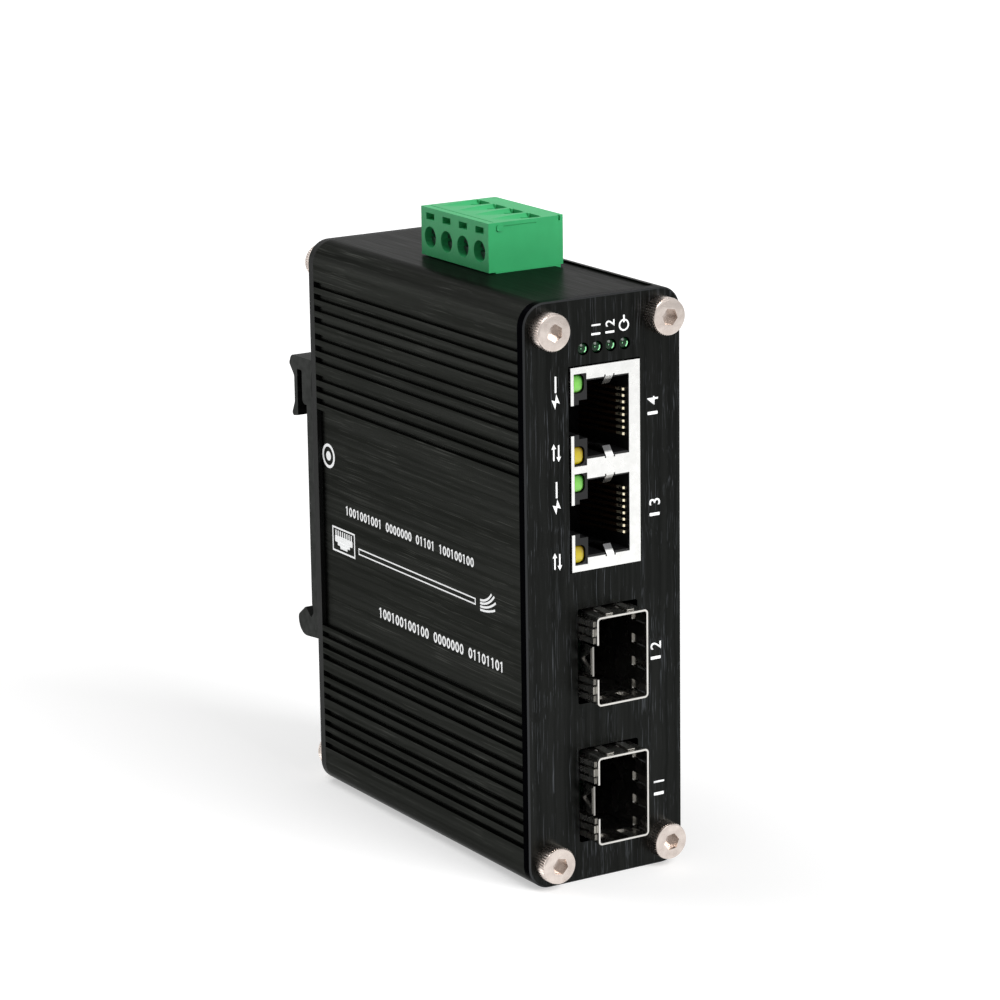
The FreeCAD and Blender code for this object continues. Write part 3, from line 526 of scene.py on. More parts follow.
# The shrunk film sleeve of a capacitor's can: smooth and nearly black.
CAPACITOR_SLEEVE = MouldedPlastic("sleeved_aluminium_can", "#1d2126", "#262b31", roughness=0.3)
# The lenses of the jack are dyed through, with painted shade round their rounded flank.
GREEN_LENS = LampLens("green_lamp_epoxy", "#7fcd55", "#2a6a1c", (0.8, 0.0, 0.6), 0.0, 0.65, light=0.04)
YELLOW_LENS = LampLens("yellow_lamp_epoxy", "#c9b51a", "#6f5908", (0.8, 0.0, 0.6), 0.0, 0.65, light=0.04)
# The status lenses are a dark green. A paler painted light lies on them: a lit crescent and a small dot.
STATUS_LENS = LampLens("dark_green_lamp_epoxy", "#072812", "#041a0a", light=0.1, specular=0.25)
# Painted light: a pale green that glows, for the lit crescent and dot on the status lenses.
PAINTED_LIT_CRESCENT = LampLens("painted_lit_crescent_green", "#8fdc9f", "#6cbf7f", light=0.3)
# Green mask over copper tracks: glossy, with lighter right-angled lines.
BOARD = SolderMask("solder_masked_laminate")
# White ink, opaque and flat, kept bright on black by a painted glow.
INK = ScreenInk("white_screen_ink")


def dress(node: str, *finishes: Finish) -> None:
    """Give a CAD node its finish.

    Args:
        node: The node's name.
        *finishes: One finish for each of its material slots, in order.
    """
    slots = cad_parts[node].data.materials
    slots.clear()
    for finish in finishes:
        slots.append(finish.material())


# ---- modelling by hand ----

def clear_selection() -> None:
    """Leave edit mode and deselect everything."""
    if bpy.context.mode != "OBJECT":
        bpy.ops.object.mode_set(mode="OBJECT")
    bpy.ops.object.select_all(action="DESELECT")


def pick(objects: list[bpy.types.Object]) -> None:
    """Select these objects only and make the first active.

    Args:
        objects: What to select.
    """
    clear_selection()
    for item in objects:
        item.select_set(True)
    bpy.context.view_layer.objects.active = objects[0]


class Part(Enum):
    """What an operator is to work on, as the selection mode for it."""

    POINTS = (True, False, False)
    EDGES = (False, True, False)


def edit(shape: bpy.types.Object, kind: Part, numbers: list[int]) -> None:
    """Enter edit mode with only some points or edges of the active shape selected.

    Args:
        shape: The active object.
        kind: Whether points or edges are meant.
        numbers: Their numbers in its mesh.
    """
    mesh = shape.data
    for part in (*mesh.vertices, *mesh.edges, *mesh.polygons):
        part.select = False
    chosen = mesh.vertices if kind is Part.POINTS else mesh.edges
    for number in numbers:
        chosen[number].select = True
    bpy.context.tool_settings.mesh_select_mode = kind.value
    bpy.ops.object.mode_set(mode="EDIT")


def smooth(piece: bpy.types.Object, degrees: float) -> None:
    """Shade a piece smooth wherever its faces meet at less than an angle.

    Args:
        piece: The piece.
        degrees: The angle.
    """
    pick([piece])
    bpy.ops.object.shade_smooth_by_angle(angle=math.radians(degrees))
    clear_selection()


def finish_piece(parts: list[bpy.types.Object], name: str, place: Matrix, finish: Finish,
                 body: str) -> bpy.types.Object:
    """Join drawn parts into one piece, set it in place and hand it to its body.

    Args:
        parts: The meshes that make the piece.
        name: The piece's name.
        place: Where the drawing's own origin and axes go.
        finish: The piece's finish.
        body: The CAD body that it rides on.

    Returns:
        The finished piece.
    """
    pick(parts)
    if len(parts) > 1:
        bpy.ops.object.join()
    piece = bpy.context.view_layer.objects.active
    piece.name = piece.data.name = name
    piece.data.transform(place @ piece.matrix_world)
    piece.matrix_world = Matrix.Identity(4)
    piece.data.materials.clear()
    piece.data.materials.append(finish.material())
    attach(piece, body)
    clear_selection()
    log.info("%s: %d faces", name, len(piece.data.polygons))
    return piece


@dataclass(frozen=True)
class Sheet:
    """A plane to draw on: its origin, the way its lines read and the way its tops point."""

    origin: Vector
    reads: Vector
    tops: Vector

    def matrix(self) -> Matrix:
        """Give the placement that takes drawing coordinates to the part's frame.

        Returns:
            The sheet's origin and its three directions.
        """
        out = self.reads.cross(self.tops)
        turn = Matrix((self.reads, self.tops, out)).transposed().to_4x4()
        return Matrix.Translation(self.origin) @ turn


@dataclass
class Print:
    """Flat ink shapes drawn in millimetres on a sheet, then raised to the ink's thickness."""

    sheet: Sheet
    ink_mm: float = 0.03
    corner_share: float = 0.18
    ring_points: int = 28
    arc_steps: int = 8
    cap_share: float = 0.70
    bolder_mm: float = 0.02
    weld_mm: float = 0.002
    parts: list[bpy.types.Object] = field(default_factory=list)

    def bar(self, u: float, v: float, width: float, height: float, turn: float = 0.0) -> None:
        """Draw a filled bar.

        Args:
            u: Its middle along the reading direction.
            v: Its middle towards the tops.
            width: Its length along the reading direction.
            height: Its height.
            turn: Its turn about its middle, in degrees.
        """
        clear_selection()
        bpy.ops.mesh.primitive_plane_add(size=MM, location=(u * MM, v * MM, 0),
                                         rotation=(0, 0, math.radians(turn)))
        shape = bpy.context.object
        bpy.ops.object.mode_set(mode="EDIT")
        bpy.ops.transform.resize(value=(width, height, 1), orient_type="LOCAL")
        bpy.ops.mesh.bevel(offset=min(width, height) * self.corner_share * MM, segments=2,
                           affect="VERTICES")
        bpy.ops.object.mode_set(mode="OBJECT")
        self.parts.append(shape)

    def frame(self, u: float, v: float, width: float, height: float, line: float) -> None:
        """Draw the outline of a rectangle from four bars that meet at its corners.

        Args:
            u: Its middle along the reading direction.
            v: Its middle towards the tops.
            width: Its outer width.
            height: Its outer height.
            line: The width of the line.
        """
        for side in (-1, 1):
            self.bar(u, v + side * (height - line) / 2, width, line)
            self.bar(u + side * (width - line) / 2, v, line, height - 2 * line)

    def ring(self, u: float, v: float, radius: float, line: float, height: float = 0.0) -> None:
        """Draw the line of a circle or of an upright oval, or fill it where the line is as wide.

        Args:
            u: Its middle along the reading direction.
            v: Its middle towards the tops.
            radius: Its outer radius, or half its width.
            line: The width of the line.
            height: An oval's height, or 0 for a circle.
        """
        clear_selection()
        bpy.ops.mesh.primitive_circle_add(vertices=self.ring_points, radius=radius * MM,
                                          fill_type="NGON", location=(u * MM, v * MM, 0))
        shape = bpy.context.object
        bpy.ops.object.mode_set(mode="EDIT")
        if height:
            bpy.ops.transform.resize(value=(1, height / (2 * radius), 1))
        if line < radius:
            bpy.ops.mesh.inset(thickness=line * MM)
            bpy.ops.mesh.delete(type="FACE")
        bpy.ops.object.mode_set(mode="OBJECT")
        self.parts.append(shape)

    def arc(self, u: float, v: float, radius: float, start: float, end: float, line: float) -> None:
        """Draw a piece of a circle's line.

        Args:
            u: The circle's middle along the reading direction.
            v: The circle's middle towards the tops.
            radius: The line's middle radius.
            start: Where it starts, in degrees from the reading direction.
            end: Where it ends, further round against the clock.
            line: The width of the line.
        """
        clear_selection()
        bpy.ops.mesh.primitive_plane_add(size=line * MM)
        shape = bpy.context.object
        edit(shape, Part.POINTS, [point.index for point in shape.data.vertices if point.co.y < 0])
        bpy.ops.mesh.delete(type="VERT")
        bpy.ops.mesh.select_all(action="SELECT")
        bpy.ops.transform.translate(value=(radius * MM, -line * MM / 2, 0))
        bpy.ops.mesh.spin(steps=self.arc_steps, angle=math.radians(start - end), center=(0, 0, 0),
                          axis=(0, 0, 1))
        bpy.ops.object.mode_set(mode="OBJECT")
        shape.data.transform(Matrix.Translation((u * MM, v * MM, 0))
                             @ Matrix.Rotation(math.radians(start), 4, "Z"))
        self.parts.append(shape)

    def shape(self, points: list[Point]) -> None:
        """Draw a filled outline.

        Args:
            points: Its corners, in order.
        """
        clear_selection()
        bpy.ops.mesh.primitive_circle_add(vertices=len(points), radius=MM, fill_type="NGON")
        drawn = bpy.context.object
        for vertex, (u, v) in zip(drawn.data.vertices, points):
            vertex.co = (u * MM, v * MM, 0)
        bpy.ops.object.mode_set(mode="EDIT")
        bpy.ops.mesh.quads_convert_to_tris()
        bpy.ops.mesh.normals_make_consistent()
        bpy.ops.object.mode_set(mode="OBJECT")
        self.parts.append(drawn)

    def number(self, text: str, u: float, v: float, height: float) -> None:
        """Write a plain number.

        Args:
            text: The digits.
            u: The number's left end.
            v: Its foot.
            height: The height of its digits.
        """
        clear_selection()
        bpy.ops.object.text_add(location=(u * MM, v * MM, 0))
        written = bpy.context.object
        written.data.body = text
        written.data.size = height / self.cap_share * MM
        written.data.resolution_u = 4
        written.data.offset = self.bolder_mm * MM
        bpy.ops.object.convert(target="MESH")
        self.parts.append(bpy.context.object)

    def press(self, name: str, body: str, finish: Finish = INK) -> bpy.types.Object:
        """Raise the drawing to the ink's thickness and set it on its sheet.

        Args:
            name: The piece's name.
            body: The CAD body that it rides on.
            finish: Its finish.

        Returns:
            The printed piece.
        """
        for part in self.parts:
            pick([part])
            bpy.ops.object.mode_set(mode="EDIT")
            bpy.ops.mesh.select_all(action="SELECT")
            bpy.ops.mesh.remove_doubles(threshold=self.weld_mm * MM)
            bpy.ops.mesh.normals_make_consistent()
            bpy.ops.object.mode_set(mode="OBJECT")
            solid = part.modifiers.new("ink", "SOLIDIFY")
            solid.thickness = self.ink_mm * MM
            solid.offset = 0
            bpy.ops.object.modifier_apply(modifier=solid.name)
        return finish_piece(self.parts, name, self.sheet.matrix(), finish, body)


# ---- sub-assemblies ----

@dataclass
class Case:
    """The two profiles and the two end panels, with what is printed on them."""

    label_recess_mm: float = 0.8
    lead_line_mm: float = 0.22
    strand_mm: float = 0.36
    port_digit_mm: float = 2.0
    lamp_digit_mm: float = 1.65

    def dress(self) -> None:
        """Give the case its brushed black finish."""
        for node in ("main_profile", "cover_profile"):
            dress(node, BRUSHED_CASE)
        dress("front_panel", BRUSHED_PANEL)
        dress("rear_panel", BLASTED_PANEL)

    def side_print(self) -> None:
        """Print the long side: rows of digits, a socket, a lead that fans out and a ring with a dot."""
        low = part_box("main_profile")[0]
        field_x = low.x + self.label_recess_mm * MM
        art = Print(Sheet(Vector((field_x, 0, 0)), Vector((0, -1, 0)), Vector((0, 0, 1))))
        self.words(art, start=-24.4, middle=50.0, counts=(10, 7, 5, 9), pitch=1.215)
        self.words(art, start=-13.9, middle=34.75, counts=(12, 7, 8), pitch=1.36)
        self.socket(art, -25.2, 44.3)
        for level in (43.3, 44.2):
            art.bar(-1.5, level, 37.2, self.lead_line_mm)
        for end in (-20.1, 17.1):
            art.bar(end, 43.75, self.lead_line_mm, 1.12)
        fan_start, down = 18.6, -90
        for foot, radius, bend in ((44.35, 4.4, 52), (43.85, 5.6, 50), (43.3, 7.8, 37), (42.75, 12.0, 22)):
            art.arc(fan_start, foot + radius, radius, down, down + bend, self.strand_mm)
        for radius, line in ((2.1, 0.5), (0.8, 0.8)):
            art.ring(-29.7, 58.3, radius, line)
        art.press("side_print", "case")

    def words(self, art: Print, start: float, middle: float, counts: tuple[int, ...], pitch: float) -> None:
        """Print a row of plain noughts and ones in groups.

        Args:
            art: The print that takes them.
            start: Left end of the row.
            middle: The row's mid-height.
            counts: How many digits each group has.
            pitch: Width of a digit with its gap.
        """
        height, line, half_nought, flag = 1.3 * pitch, 0.24 * pitch, 0.43 * pitch, 0.22 * pitch
        cell = 0
        for group, count in enumerate(counts):
            for k in range(count):
                u = start + (cell + k + 0.5) * pitch
                if (k * k + group) % 3:
                    art.ring(u, middle, half_nought, line, height)
                else:
                    art.bar(u, middle, line, height)
                    art.bar(u - flag, middle + 0.34 * height, line, 0.8 * line, turn=35)
            cell += count + 1

    def socket(self, art: Print, u: float, v: float) -> None:
        """Print a socket seen from its front: a frame, a row of contacts and a stepped opening.

        Args:
            art: The print that takes it.
            u: Its middle along the reading direction.
            v: Its middle towards the tops.
        """
        contacts, contact_pitch = 8, 0.74
        art.frame(u, v, 7.6, 4.3, 0.3)
        for k in range(contacts):
            art.bar(u + (k - (contacts - 1) / 2) * contact_pitch, v + 1.1, 0.34, 1.0)
        for width, height, level in ((5.9, 1.1, 0.1), (4.1, 0.6, -0.7), (2.4, 0.5, -1.2)):
            art.bar(u, v + level, width, height)

    def front_print(self) -> None:
        """Print the front panel: numbers at the ports and status lamps, and signs at the other lamps."""
        face = Vector((0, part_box("front_panel")[0].y, 0))
        art = Print(Sheet(face, Vector((0, 0, 1)), Vector((-1, 0, 0))))
        ports = {"4": (10.2, 74.3), "3": (10.5, 57.9), "2": (10.6, 34.3), "1": (11.1, 11.5)}
        after_bar, bar_middle, bar_lift, bar_width = 1.6, 0.3, 1.0, 0.5
        for number, (right, start) in ports.items():
            art.number(number, start + after_bar, -right, self.port_digit_mm)
            art.bar(start + bar_middle, -right + bar_lift, bar_width, 0.95 * self.port_digit_mm)
        above_lamps, lamp_bars, lamp_bar_lift, power_v = 89.3, 88.5, 0.85, -3.93
        for number, right in {"1": -0.43, "2": 2.17}.items():
            art.bar(lamp_bars, -right + lamp_bar_lift, 0.34, self.lamp_digit_mm)
            art.number(number, above_lamps, -right, self.lamp_digit_mm)
        art.ring(above_lamps, power_v, 0.95, 0.26)
        art.bar(above_lamps + 1.0, power_v, 1.2, 0.3)
        jack_lamps_v, half_sign, dash = 8.75, 1.2, 2.6
        for start in (77.5, 60.8):
            self.bolt(art, start + half_sign, jack_lamps_v)
            art.bar(start + 3 * half_sign + 0.3, jack_lamps_v, dash, 0.3)
        for start in (69.1, 51.7):
            self.double_arrow(art, start + 1.5, jack_lamps_v)
        art.press("front_print", "case")

    def bolt(self, art: Print, u: float, v: float) -> None:
        """Print a lightning sign.

        Args:
            art: The print that takes it.
            u: Its middle along the reading direction.
            v: Its middle towards the tops.
        """
        art.shape([(u - 1.2, v + 0.1), (u + 0.35, v + 0.75), (u + 0.1, v + 0.1), (u + 1.2, v - 0.1),
                   (u - 0.35, v - 0.75), (u - 0.1, v - 0.1)])

    def double_arrow(self, art: Print, u: float, v: float) -> None:
        """Print the sign for traffic: two arrows that run opposite ways.

        Args:
            art: The print that takes it.
            u: Its middle along the reading direction.
            v: Its middle towards the tops.
        """
        apart, shaft, line, reach, head, half_head = 0.9, 1.9, 0.26, 1.45, 0.8, 0.42
        for side in (-1, 1):
            level = v + side * apart / 2
            art.bar(u - side * 0.25, level, shaft, line)
            tip = u + side * reach
            neck = tip - side * head
            art.shape([(tip, level), (neck, level + half_head), (neck, level - half_head)])


@dataclass
class Fasteners:
    """The knurled socket-head screws of the end panels and the two screws of the rail clip."""

    head_radius_mm: float = 3.0
    head_height_mm: float = 2.9
    ridges: int = 44
    ridge_mm: float = 0.16
    crown_mm: float = 0.4
    crown_bevel: float = 0.7
    crown_sides: int = 64
    bite_mm: float = 0.1
    socket_mm: float = 2.5
    socket_depth_mm: float = 1.6
    shank_radius_mm: float = 1.43
    shank_length_mm: float = 9.0
    shank_sides: int = 32
    first_turn: float = 17.0
    next_turn: float = 41.0
    smooth_under: float = 20.0

    def head(self) -> bpy.types.Object:
        """Model one screw with its head up: a ridged wall, a smooth rounded crown and a six-sided socket.

        Returns:
            The screw, with the underside of its head at the origin.
        """
        clear_selection()
        bpy.ops.mesh.primitive_circle_add(vertices=2 * self.ridges, radius=self.head_radius_mm * MM,
                                          fill_type="NGON")
        screw = bpy.context.object
        inwards = 1 - self.ridge_mm / self.head_radius_mm
        edit(screw, Part.POINTS, list(range(1, 2 * self.ridges, 2)))
        bpy.ops.transform.resize(value=(inwards, inwards, 1), center_override=(0, 0, 0))
        bpy.ops.mesh.select_all(action="SELECT")
        wall = self.head_height_mm - self.crown_mm
        bpy.ops.mesh.extrude_region_move(TRANSFORM_OT_translate={"value": (0, 0, wall * MM)})
        bpy.ops.mesh.select_all(action="SELECT")
        bpy.ops.mesh.normals_make_consistent()
        bpy.ops.object.mode_set(mode="OBJECT")
        crown = self.rod(self.crown_sides, self.head_radius_mm - self.ridge_mm / 2, wall - self.bite_mm,
                         self.head_height_mm)
        edit(crown, Part.EDGES, [edge.index for edge in crown.data.edges
                                 if all(crown.data.vertices[k].co.z > wall * MM for k in edge.vertices)])
        bpy.ops.mesh.bevel(offset=self.crown_bevel * self.crown_mm * MM, segments=3, affect="EDGES")
        bpy.ops.object.mode_set(mode="OBJECT")
        hexagon, clear_mm = 6, 1
        socket = self.rod(hexagon, self.socket_mm / math.sqrt(3),
                          self.head_height_mm - self.socket_depth_mm, self.head_height_mm + clear_mm)
        shank = self.rod(self.shank_sides, self.shank_radius_mm, -self.shank_length_mm, 2 * self.bite_mm)
        for tool, kind in ((crown, "UNION"), (socket, "DIFFERENCE"), (shank, "UNION")):
            cut = screw.modifiers.new(kind.lower(), "BOOLEAN")
            cut.object, cut.operation = tool, kind
            pick([screw])
            bpy.ops.object.modifier_apply(modifier=cut.name)
            bpy.data.objects.remove(tool)
        return screw

    def rod(self, sides: int, radius_mm: float, low_mm: float, high_mm: float) -> bpy.types.Object:
        """Make an upright rod to cut or join with.

        Args:
            sides: How many sides it has.
            radius_mm: Its radius at the corners.
            low_mm: Where it starts.
            high_mm: Where it ends.

        Returns:
            The rod.
        """
        clear_selection()
        bpy.ops.mesh.primitive_cylinder_add(vertices=sides, radius=radius_mm * MM,
                                            depth=(high_mm - low_mm) * MM,
                                            location=(0, 0, (high_mm + low_mm) / 2 * MM))
        bpy.ops.object.transform_apply(location=True, rotation=False, scale=False)
        return bpy.context.object

    def set_of_four(self, screw: bpy.types.Object, node: str, name: str, face_y: float, out: int) -> None:
        """Put four copies of a screw in the corners of a panel, each turned by another angle.

        Args:
            screw: The screw to copy, head up.
            node: The CAD node that they stand for.
            name: The name of the finished piece.
            face_y: The panel's outer face.
            out: -1 where the heads stand towards the front, 1 where they stand towards the rear.
        """
        low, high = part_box(node)
        inset = self.head_radius_mm * MM
        copies = []
        for turn, (x, z) in enumerate((x, z) for x in (low.x + inset, high.x - inset)
                                      for z in (low.z + inset, high.z - inset)):
            copy = screw.copy()
            copy.data = screw.data.copy()
            bpy.context.scene.collection.objects.link(copy)
            turned = Matrix.Rotation(math.radians(self.first_turn + self.next_turn * turn), 4, "Z")
            copy.data.transform(Matrix.Translation((x, face_y, z))
                                @ Matrix.Rotation(-out * math.pi / 2, 4, "X") @ turned)
            copies.append(copy)
        piece = finish_piece(copies, name, Matrix.Identity(4), NICKEL_STEEL, "case")
        smooth(piece, self.smooth_under)
        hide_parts(node)

    def dress(self) -> None:
        """Model the panels' screws and give the clip's their plating."""
        screw = self.head()
        head = self.head_height_mm * MM
        front_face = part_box("front_screws")[0].y + head
        rear_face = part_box("rear_screws")[1].y - head
        self.set_of_four(screw, "front_screws", "front_socket_screws", front_face, -1)
        self.set_of_four(screw, "rear_screws", "rear_socket_screws", rear_face, 1)
        bpy.data.objects.remove(screw)
        dress("clip_screws", ZINC_STEEL)


@dataclass
class RailClip:
    """The one-piece spring clip on the back."""

    def dress(self) -> None:
        """Give the clip the case's black."""
        dress("rail_clip", ANODISED_CLIP)


@dataclass
class Sockets:
    """The double jack, the two fibre cages and the lamps."""

    lens_height_mm: float = 3.0
    lens_round_mm: float = 1.2
    lens_round_steps: int = 6
    lens_smooth_under: float = 50.0
    near_mm: float = 0.01
    status_lamps: int = 4
    # The painted light on the status lenses: a crescent and a dot.
    crescent_line_mm: float = 0.2
    crescent_radius_mm: float = 0.56
    crescent_start: float = -155.0
    crescent_end: float = -65.0
    dot_radius_mm: float = 0.13
    dot_off_middle: Point = (0.05, 0.25)
    painted_light_depth_mm: float = 0.2
    painted_light_thickness_mm: float = 0.12

    def dress(self) -> None:
        """Give the sockets their metals and plastics."""
        dress("jack_shield", SHIELD_SHEET)
        dress("jack_insert", BLACK_POLYESTER)
        dress("jack_contacts", CONTACT_WIRE)
        self.lenses("jack_lamps_green", GREEN_LENS)
        self.lenses("jack_lamps_yellow", YELLOW_LENS)
        for level in ("lower", "upper"):
            dress(f"cage_{level}", CAGE_SHEET)
            dress(f"cage_collar_{level}", COLLAR_SHEET)
            dress(f"fibre_socket_{level}", BLACK_POLYESTER)
        dress("lamp_block", SMOKE_POLYCARBONATE)
        dress("status_lamps", STATUS_LENS)
        self.painted_lit_crescents()

    def lenses(self, node: str, finish: Finish) -> None:
        """Model the two lenses of one colour, rounded in front and on the side towards the contacts.

        Args:
            node: The CAD node that they stand for.
            finish: Their finish.
        """
        low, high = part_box(node)
        half, near = self.lens_height_mm / 2 * MM, self.near_mm * MM
        pieces = []
        for z in (low.z + half, high.z - half):
            clear_selection()
            middle = ((low.x + high.x) / 2, (low.y + high.y) / 2, z)
            bpy.ops.mesh.primitive_cube_add(size=1, location=middle)
            lens = bpy.context.object
            lens.scale = (high.x - low.x, high.y - low.y, 2 * half)
            bpy.ops.object.transform_apply(location=True, rotation=False, scale=True)
            rounded = []
            for edge in lens.data.edges:
                ends = [lens.data.vertices[k].co for k in edge.vertices]
                front = all(abs(end.y - low.y) < near for end in ends)
                right = all(abs(end.x - high.x) < near for end in ends)
                left = all(abs(end.x - low.x) < near for end in ends)
                level = abs(ends[0].z - ends[1].z) < near
                if (front and not left) or (right and level):
                    rounded.append(edge.index)
            edit(lens, Part.EDGES, rounded)
            bpy.ops.mesh.bevel(offset=self.lens_round_mm * MM, segments=self.lens_round_steps,
                               affect="EDGES")
            bpy.ops.object.mode_set(mode="OBJECT")
            pieces.append(lens)
        piece = finish_piece(pieces, node + "_domed", Matrix.Identity(4), finish, "case")
        smooth(piece, self.lens_smooth_under)
        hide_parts(node)

    def painted_lit_crescents(self) -> None:
        """Lay a painted light on each status lens, as if seen through it: a glowing crescent low on its
        right, as light on the inner wall, and a small pale dot.
        """
        low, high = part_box("status_lamps")
        radius = (high.z - low.z) / 2
        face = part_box("front_panel")[0].y
        sheet = Sheet(Vector((0, face + self.painted_light_depth_mm * MM, 0)), Vector((0, 0, 1)), Vector((-1, 0, 0)))
        art = Print(sheet, ink_mm=self.painted_light_thickness_mm)
        pitch = (high.x - low.x - 2 * radius) / (self.status_lamps - 1)
        height = (low.z + radius) / MM
        dot_u, dot_v = self.dot_off_middle
        for k in range(self.status_lamps):
            x = (low.x + radius + k * pitch) / MM
            art.arc(height, -x, self.crescent_radius_mm, self.crescent_start, self.crescent_end, self.crescent_line_mm)
            art.ring(height + dot_u, -x + dot_v, self.dot_radius_mm, self.dot_radius_mm)
        art.press("status_lamp_painted_light", "case", finish=PAINTED_LIT_CRESCENT)


@dataclass
class Terminal:
    """The pluggable terminal on top."""

    poles: int = 4

    def dress(self) -> None:
        """Give the plug and its header their plastics and metals."""
        for node in ("plug_housing", "terminal_header"):
            dress(node, GREEN_POLYAMIDE)
        for node in ("plug_contacts", "header_pins"):
            dress(node, TINNED_SHEET)
        for pole in range(1, self.poles + 1):
            dress(f"clamp_screw_{pole}", ZINC_STEEL)
            dress(f"clamp_cage_{pole}", NICKEL_STEEL)


@dataclass
class Electronics:
    """The board inside and what is soldered to it."""

    def dress(self) -> None:
        """Give the board and its parts their finishes."""
        dress("main_board", BOARD)
        for node in ("switch_chip", "phy_chips"):
            dress(node, CHIP_EPOXY)
        dress("capacitors", CAPACITOR_SLEEVE)
        for node in ("transformer_core", "power_inductor"):
            dress(node, FERRITE)
        dress("transformer_winding", WINDING_TAPE)


# ---- studio ----

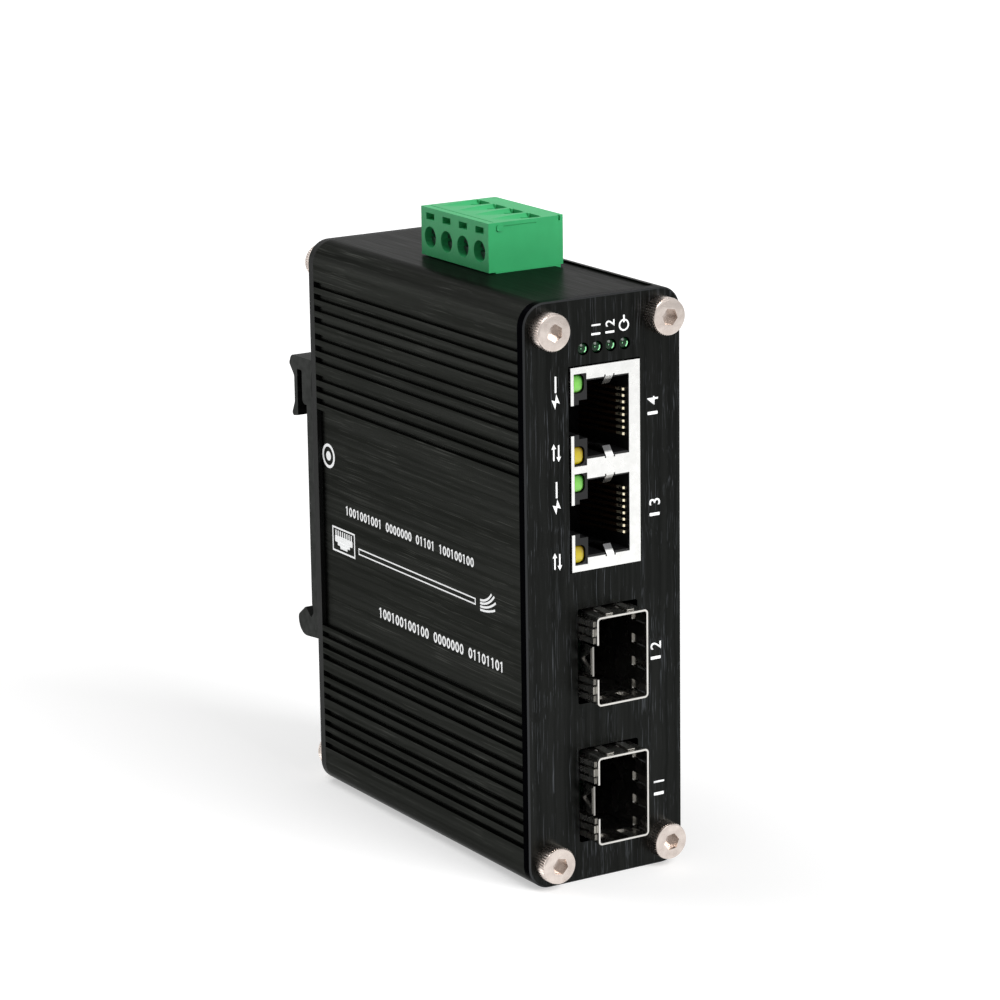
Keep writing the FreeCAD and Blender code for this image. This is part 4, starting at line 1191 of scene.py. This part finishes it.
@dataclass
class Studio:
    """A pale floor, soft lamps, a white surround and the camera."""

    floor_size: float = 6.0
    floor_paint: str = "#d2d2d2"
    floor_glow: float = 0.45
    far_glow: float = 0.95
    far: float = 0.9
    gloss_near: float = 0.85
    gloss_far: float = 0.3
    gloss_fades: Point = (0.14, 0.42)
    sky_light: float = 0.25
    aim: Vector = field(default_factory=lambda: Vector((0, 0, 0.05)))

    def floor(self) -> None:
        """Lay a pale floor that keeps the shadow and goes white where nothing shades it.

        Its glow is painted light, only for the eye and for gloss, and lights nothing. The eye sees it glow
        more further from the object, and gloss sees it brighter close to the object than further off.
        """
        clear_selection()
        bpy.ops.mesh.primitive_plane_add(size=self.floor_size)
        plane = bpy.context.object
        plane.name = "studio_floor"
        paint = bpy.data.materials.new("matt_white_paint")
        paint.use_nodes = True
        tree = paint.node_tree
        tree.nodes.clear()
        matt = add(tree, "ShaderNodeBsdfDiffuse", {"Color": linear(self.floor_paint)})
        rays = add(tree, "ShaderNodeLightPath")
        seen = add(tree, "ShaderNodeMath", {0: rays.outputs["Is Glossy Ray"],
                                            1: rays.outputs["Is Transmission Ray"]}, operation="MAXIMUM")
        spot = add(tree, "ShaderNodeTexCoord").outputs["Object"]
        far = add(tree, "ShaderNodeVectorMath", {0: spot}, operation="LENGTH")
        glow = add(tree, "ShaderNodeMapRange", {"Value": far.outputs["Value"], "From Max": self.far,
                                                "To Min": self.floor_glow, "To Max": self.far_glow})
        lift = add(tree, "ShaderNodeMath", {0: rays.outputs["Is Camera Ray"], 1: glow.outputs[0]},
                   operation="MULTIPLY")
        gloss = add(tree, "ShaderNodeMapRange", {"Value": far.outputs["Value"],
                                                 "From Min": self.gloss_fades[0],
                                                 "From Max": self.gloss_fades[1],
                                                 "To Min": self.gloss_near, "To Max": self.gloss_far})
        lift = add(tree, "ShaderNodeMath", {0: seen.outputs[0], 1: gloss.outputs[0], 2: lift.outputs[0]},
                   operation="MULTIPLY_ADD")
        glow = add(tree, "ShaderNodeEmission", {"Color": (1, 1, 1, 1), "Strength": lift.outputs[0]})
        both = add(tree, "ShaderNodeAddShader", {0: matt.outputs[0], 1: glow.outputs[0]})
        add(tree, "ShaderNodeOutputMaterial", {"Surface": both.outputs[0]})
        plane.data.materials.append(paint)

    def surround(self) -> None:
        """Make the world white to the eye, in gloss and through glass, and a softer light elsewhere."""
        world = bpy.data.worlds.new("studio")
        bpy.context.scene.world = world
        world.use_nodes = True
        tree = world.node_tree
        tree.nodes.clear()
        rays = add(tree, "ShaderNodeLightPath")
        seen = add(tree, "ShaderNodeMath", {0: rays.outputs["Is Camera Ray"],
                                            1: rays.outputs["Is Glossy Ray"]}, operation="MAXIMUM")
        seen = add(tree, "ShaderNodeMath", {0: seen.outputs[0], 1: rays.outputs["Is Transmission Ray"]},
                   operation="MAXIMUM")
        strength = add(tree, "ShaderNodeMapRange", {"Value": seen.outputs[0], "To Min": self.sky_light,
                                                    "To Max": 1.0})
        light = add(tree, "ShaderNodeBackground", {"Color": (1, 1, 1, 1), "Strength": strength.outputs[0]})
        add(tree, "ShaderNodeOutputWorld", {"Surface": light.outputs[0]})

    def lamp(self, name: str, place: Triple, size: float, watts: float) -> None:
        """Hang a square soft lamp that looks at the object.

        Args:
            name: The lamp's name.
            place: Where it hangs.
            size: Its side.
            watts: Its power.
        """
        clear_selection()
        bpy.ops.object.light_add(type="AREA", location=place)
        lamp = bpy.context.object
        lamp.name = name
        lamp.data.size = size
        lamp.data.energy = watts
        lamp.visible_camera = False
        lamp.rotation_euler = (self.aim - Vector(place)).to_track_quat("-Z", "Y").to_euler()

    def lamps(self) -> None:
        """Hang the soft lamps: a key in front, one over the back and a faint one low at the back."""
        self.lamp("key_front", (0.25, -0.95, 0.75), 0.6, 12.5)
        self.lamp("top_back", (-0.3, 0.5, 1.0), 0.6, 5.0)
        self.lamp("low_back_left", (-0.24, 0.30, 0.07), 0.15, 0.12)

    def camera(self) -> None:
        """Set the camera to the left of the front, a little above, with a long lens."""
        azimuth, elevation, roll = math.radians(31.61), math.radians(14.23), math.radians(-0.82)
        distance, focal_mm = 0.635, 140.4
        target = Vector((-0.0006, -0.00375, 0.0557))
        back = Vector((-math.sin(azimuth) * math.cos(elevation),
                       -math.cos(azimuth) * math.cos(elevation), math.sin(elevation)))
        side = Vector((math.cos(azimuth), -math.sin(azimuth), 0))
        above = back.cross(side)
        right = math.cos(roll) * side + math.sin(roll) * above
        up = -math.sin(roll) * side + math.cos(roll) * above
        data = bpy.data.cameras.new("camera")
        data.lens = focal_mm
        data.sensor_width = 36.0
        data.clip_start, data.clip_end = 0.01, 20.0
        seat = bpy.data.objects.new("camera", data)
        seat.matrix_world = (Matrix.Translation(target + back * distance)
                             @ Matrix((right, up, back)).transposed().to_4x4())
        bpy.context.scene.collection.objects.link(seat)
        bpy.context.scene.camera = seat

    def build(self) -> None:
        """Set up the whole studio."""
        self.floor()
        self.surround()
        self.lamps()
        self.camera()
        bpy.context.scene.view_settings.view_transform = "Standard"


def main() -> None:
    """Build and dress every sub-assembly, then the studio."""
    Studio().build()
    case = Case()
    case.dress()
    case.side_print()
    case.front_print()
    for group in (Fasteners(), RailClip(), Sockets(), Terminal(), Electronics()):
        group.dress()
        log.info("%s dressed", type(group).__name__)


if __name__ == "__main__":
    main()
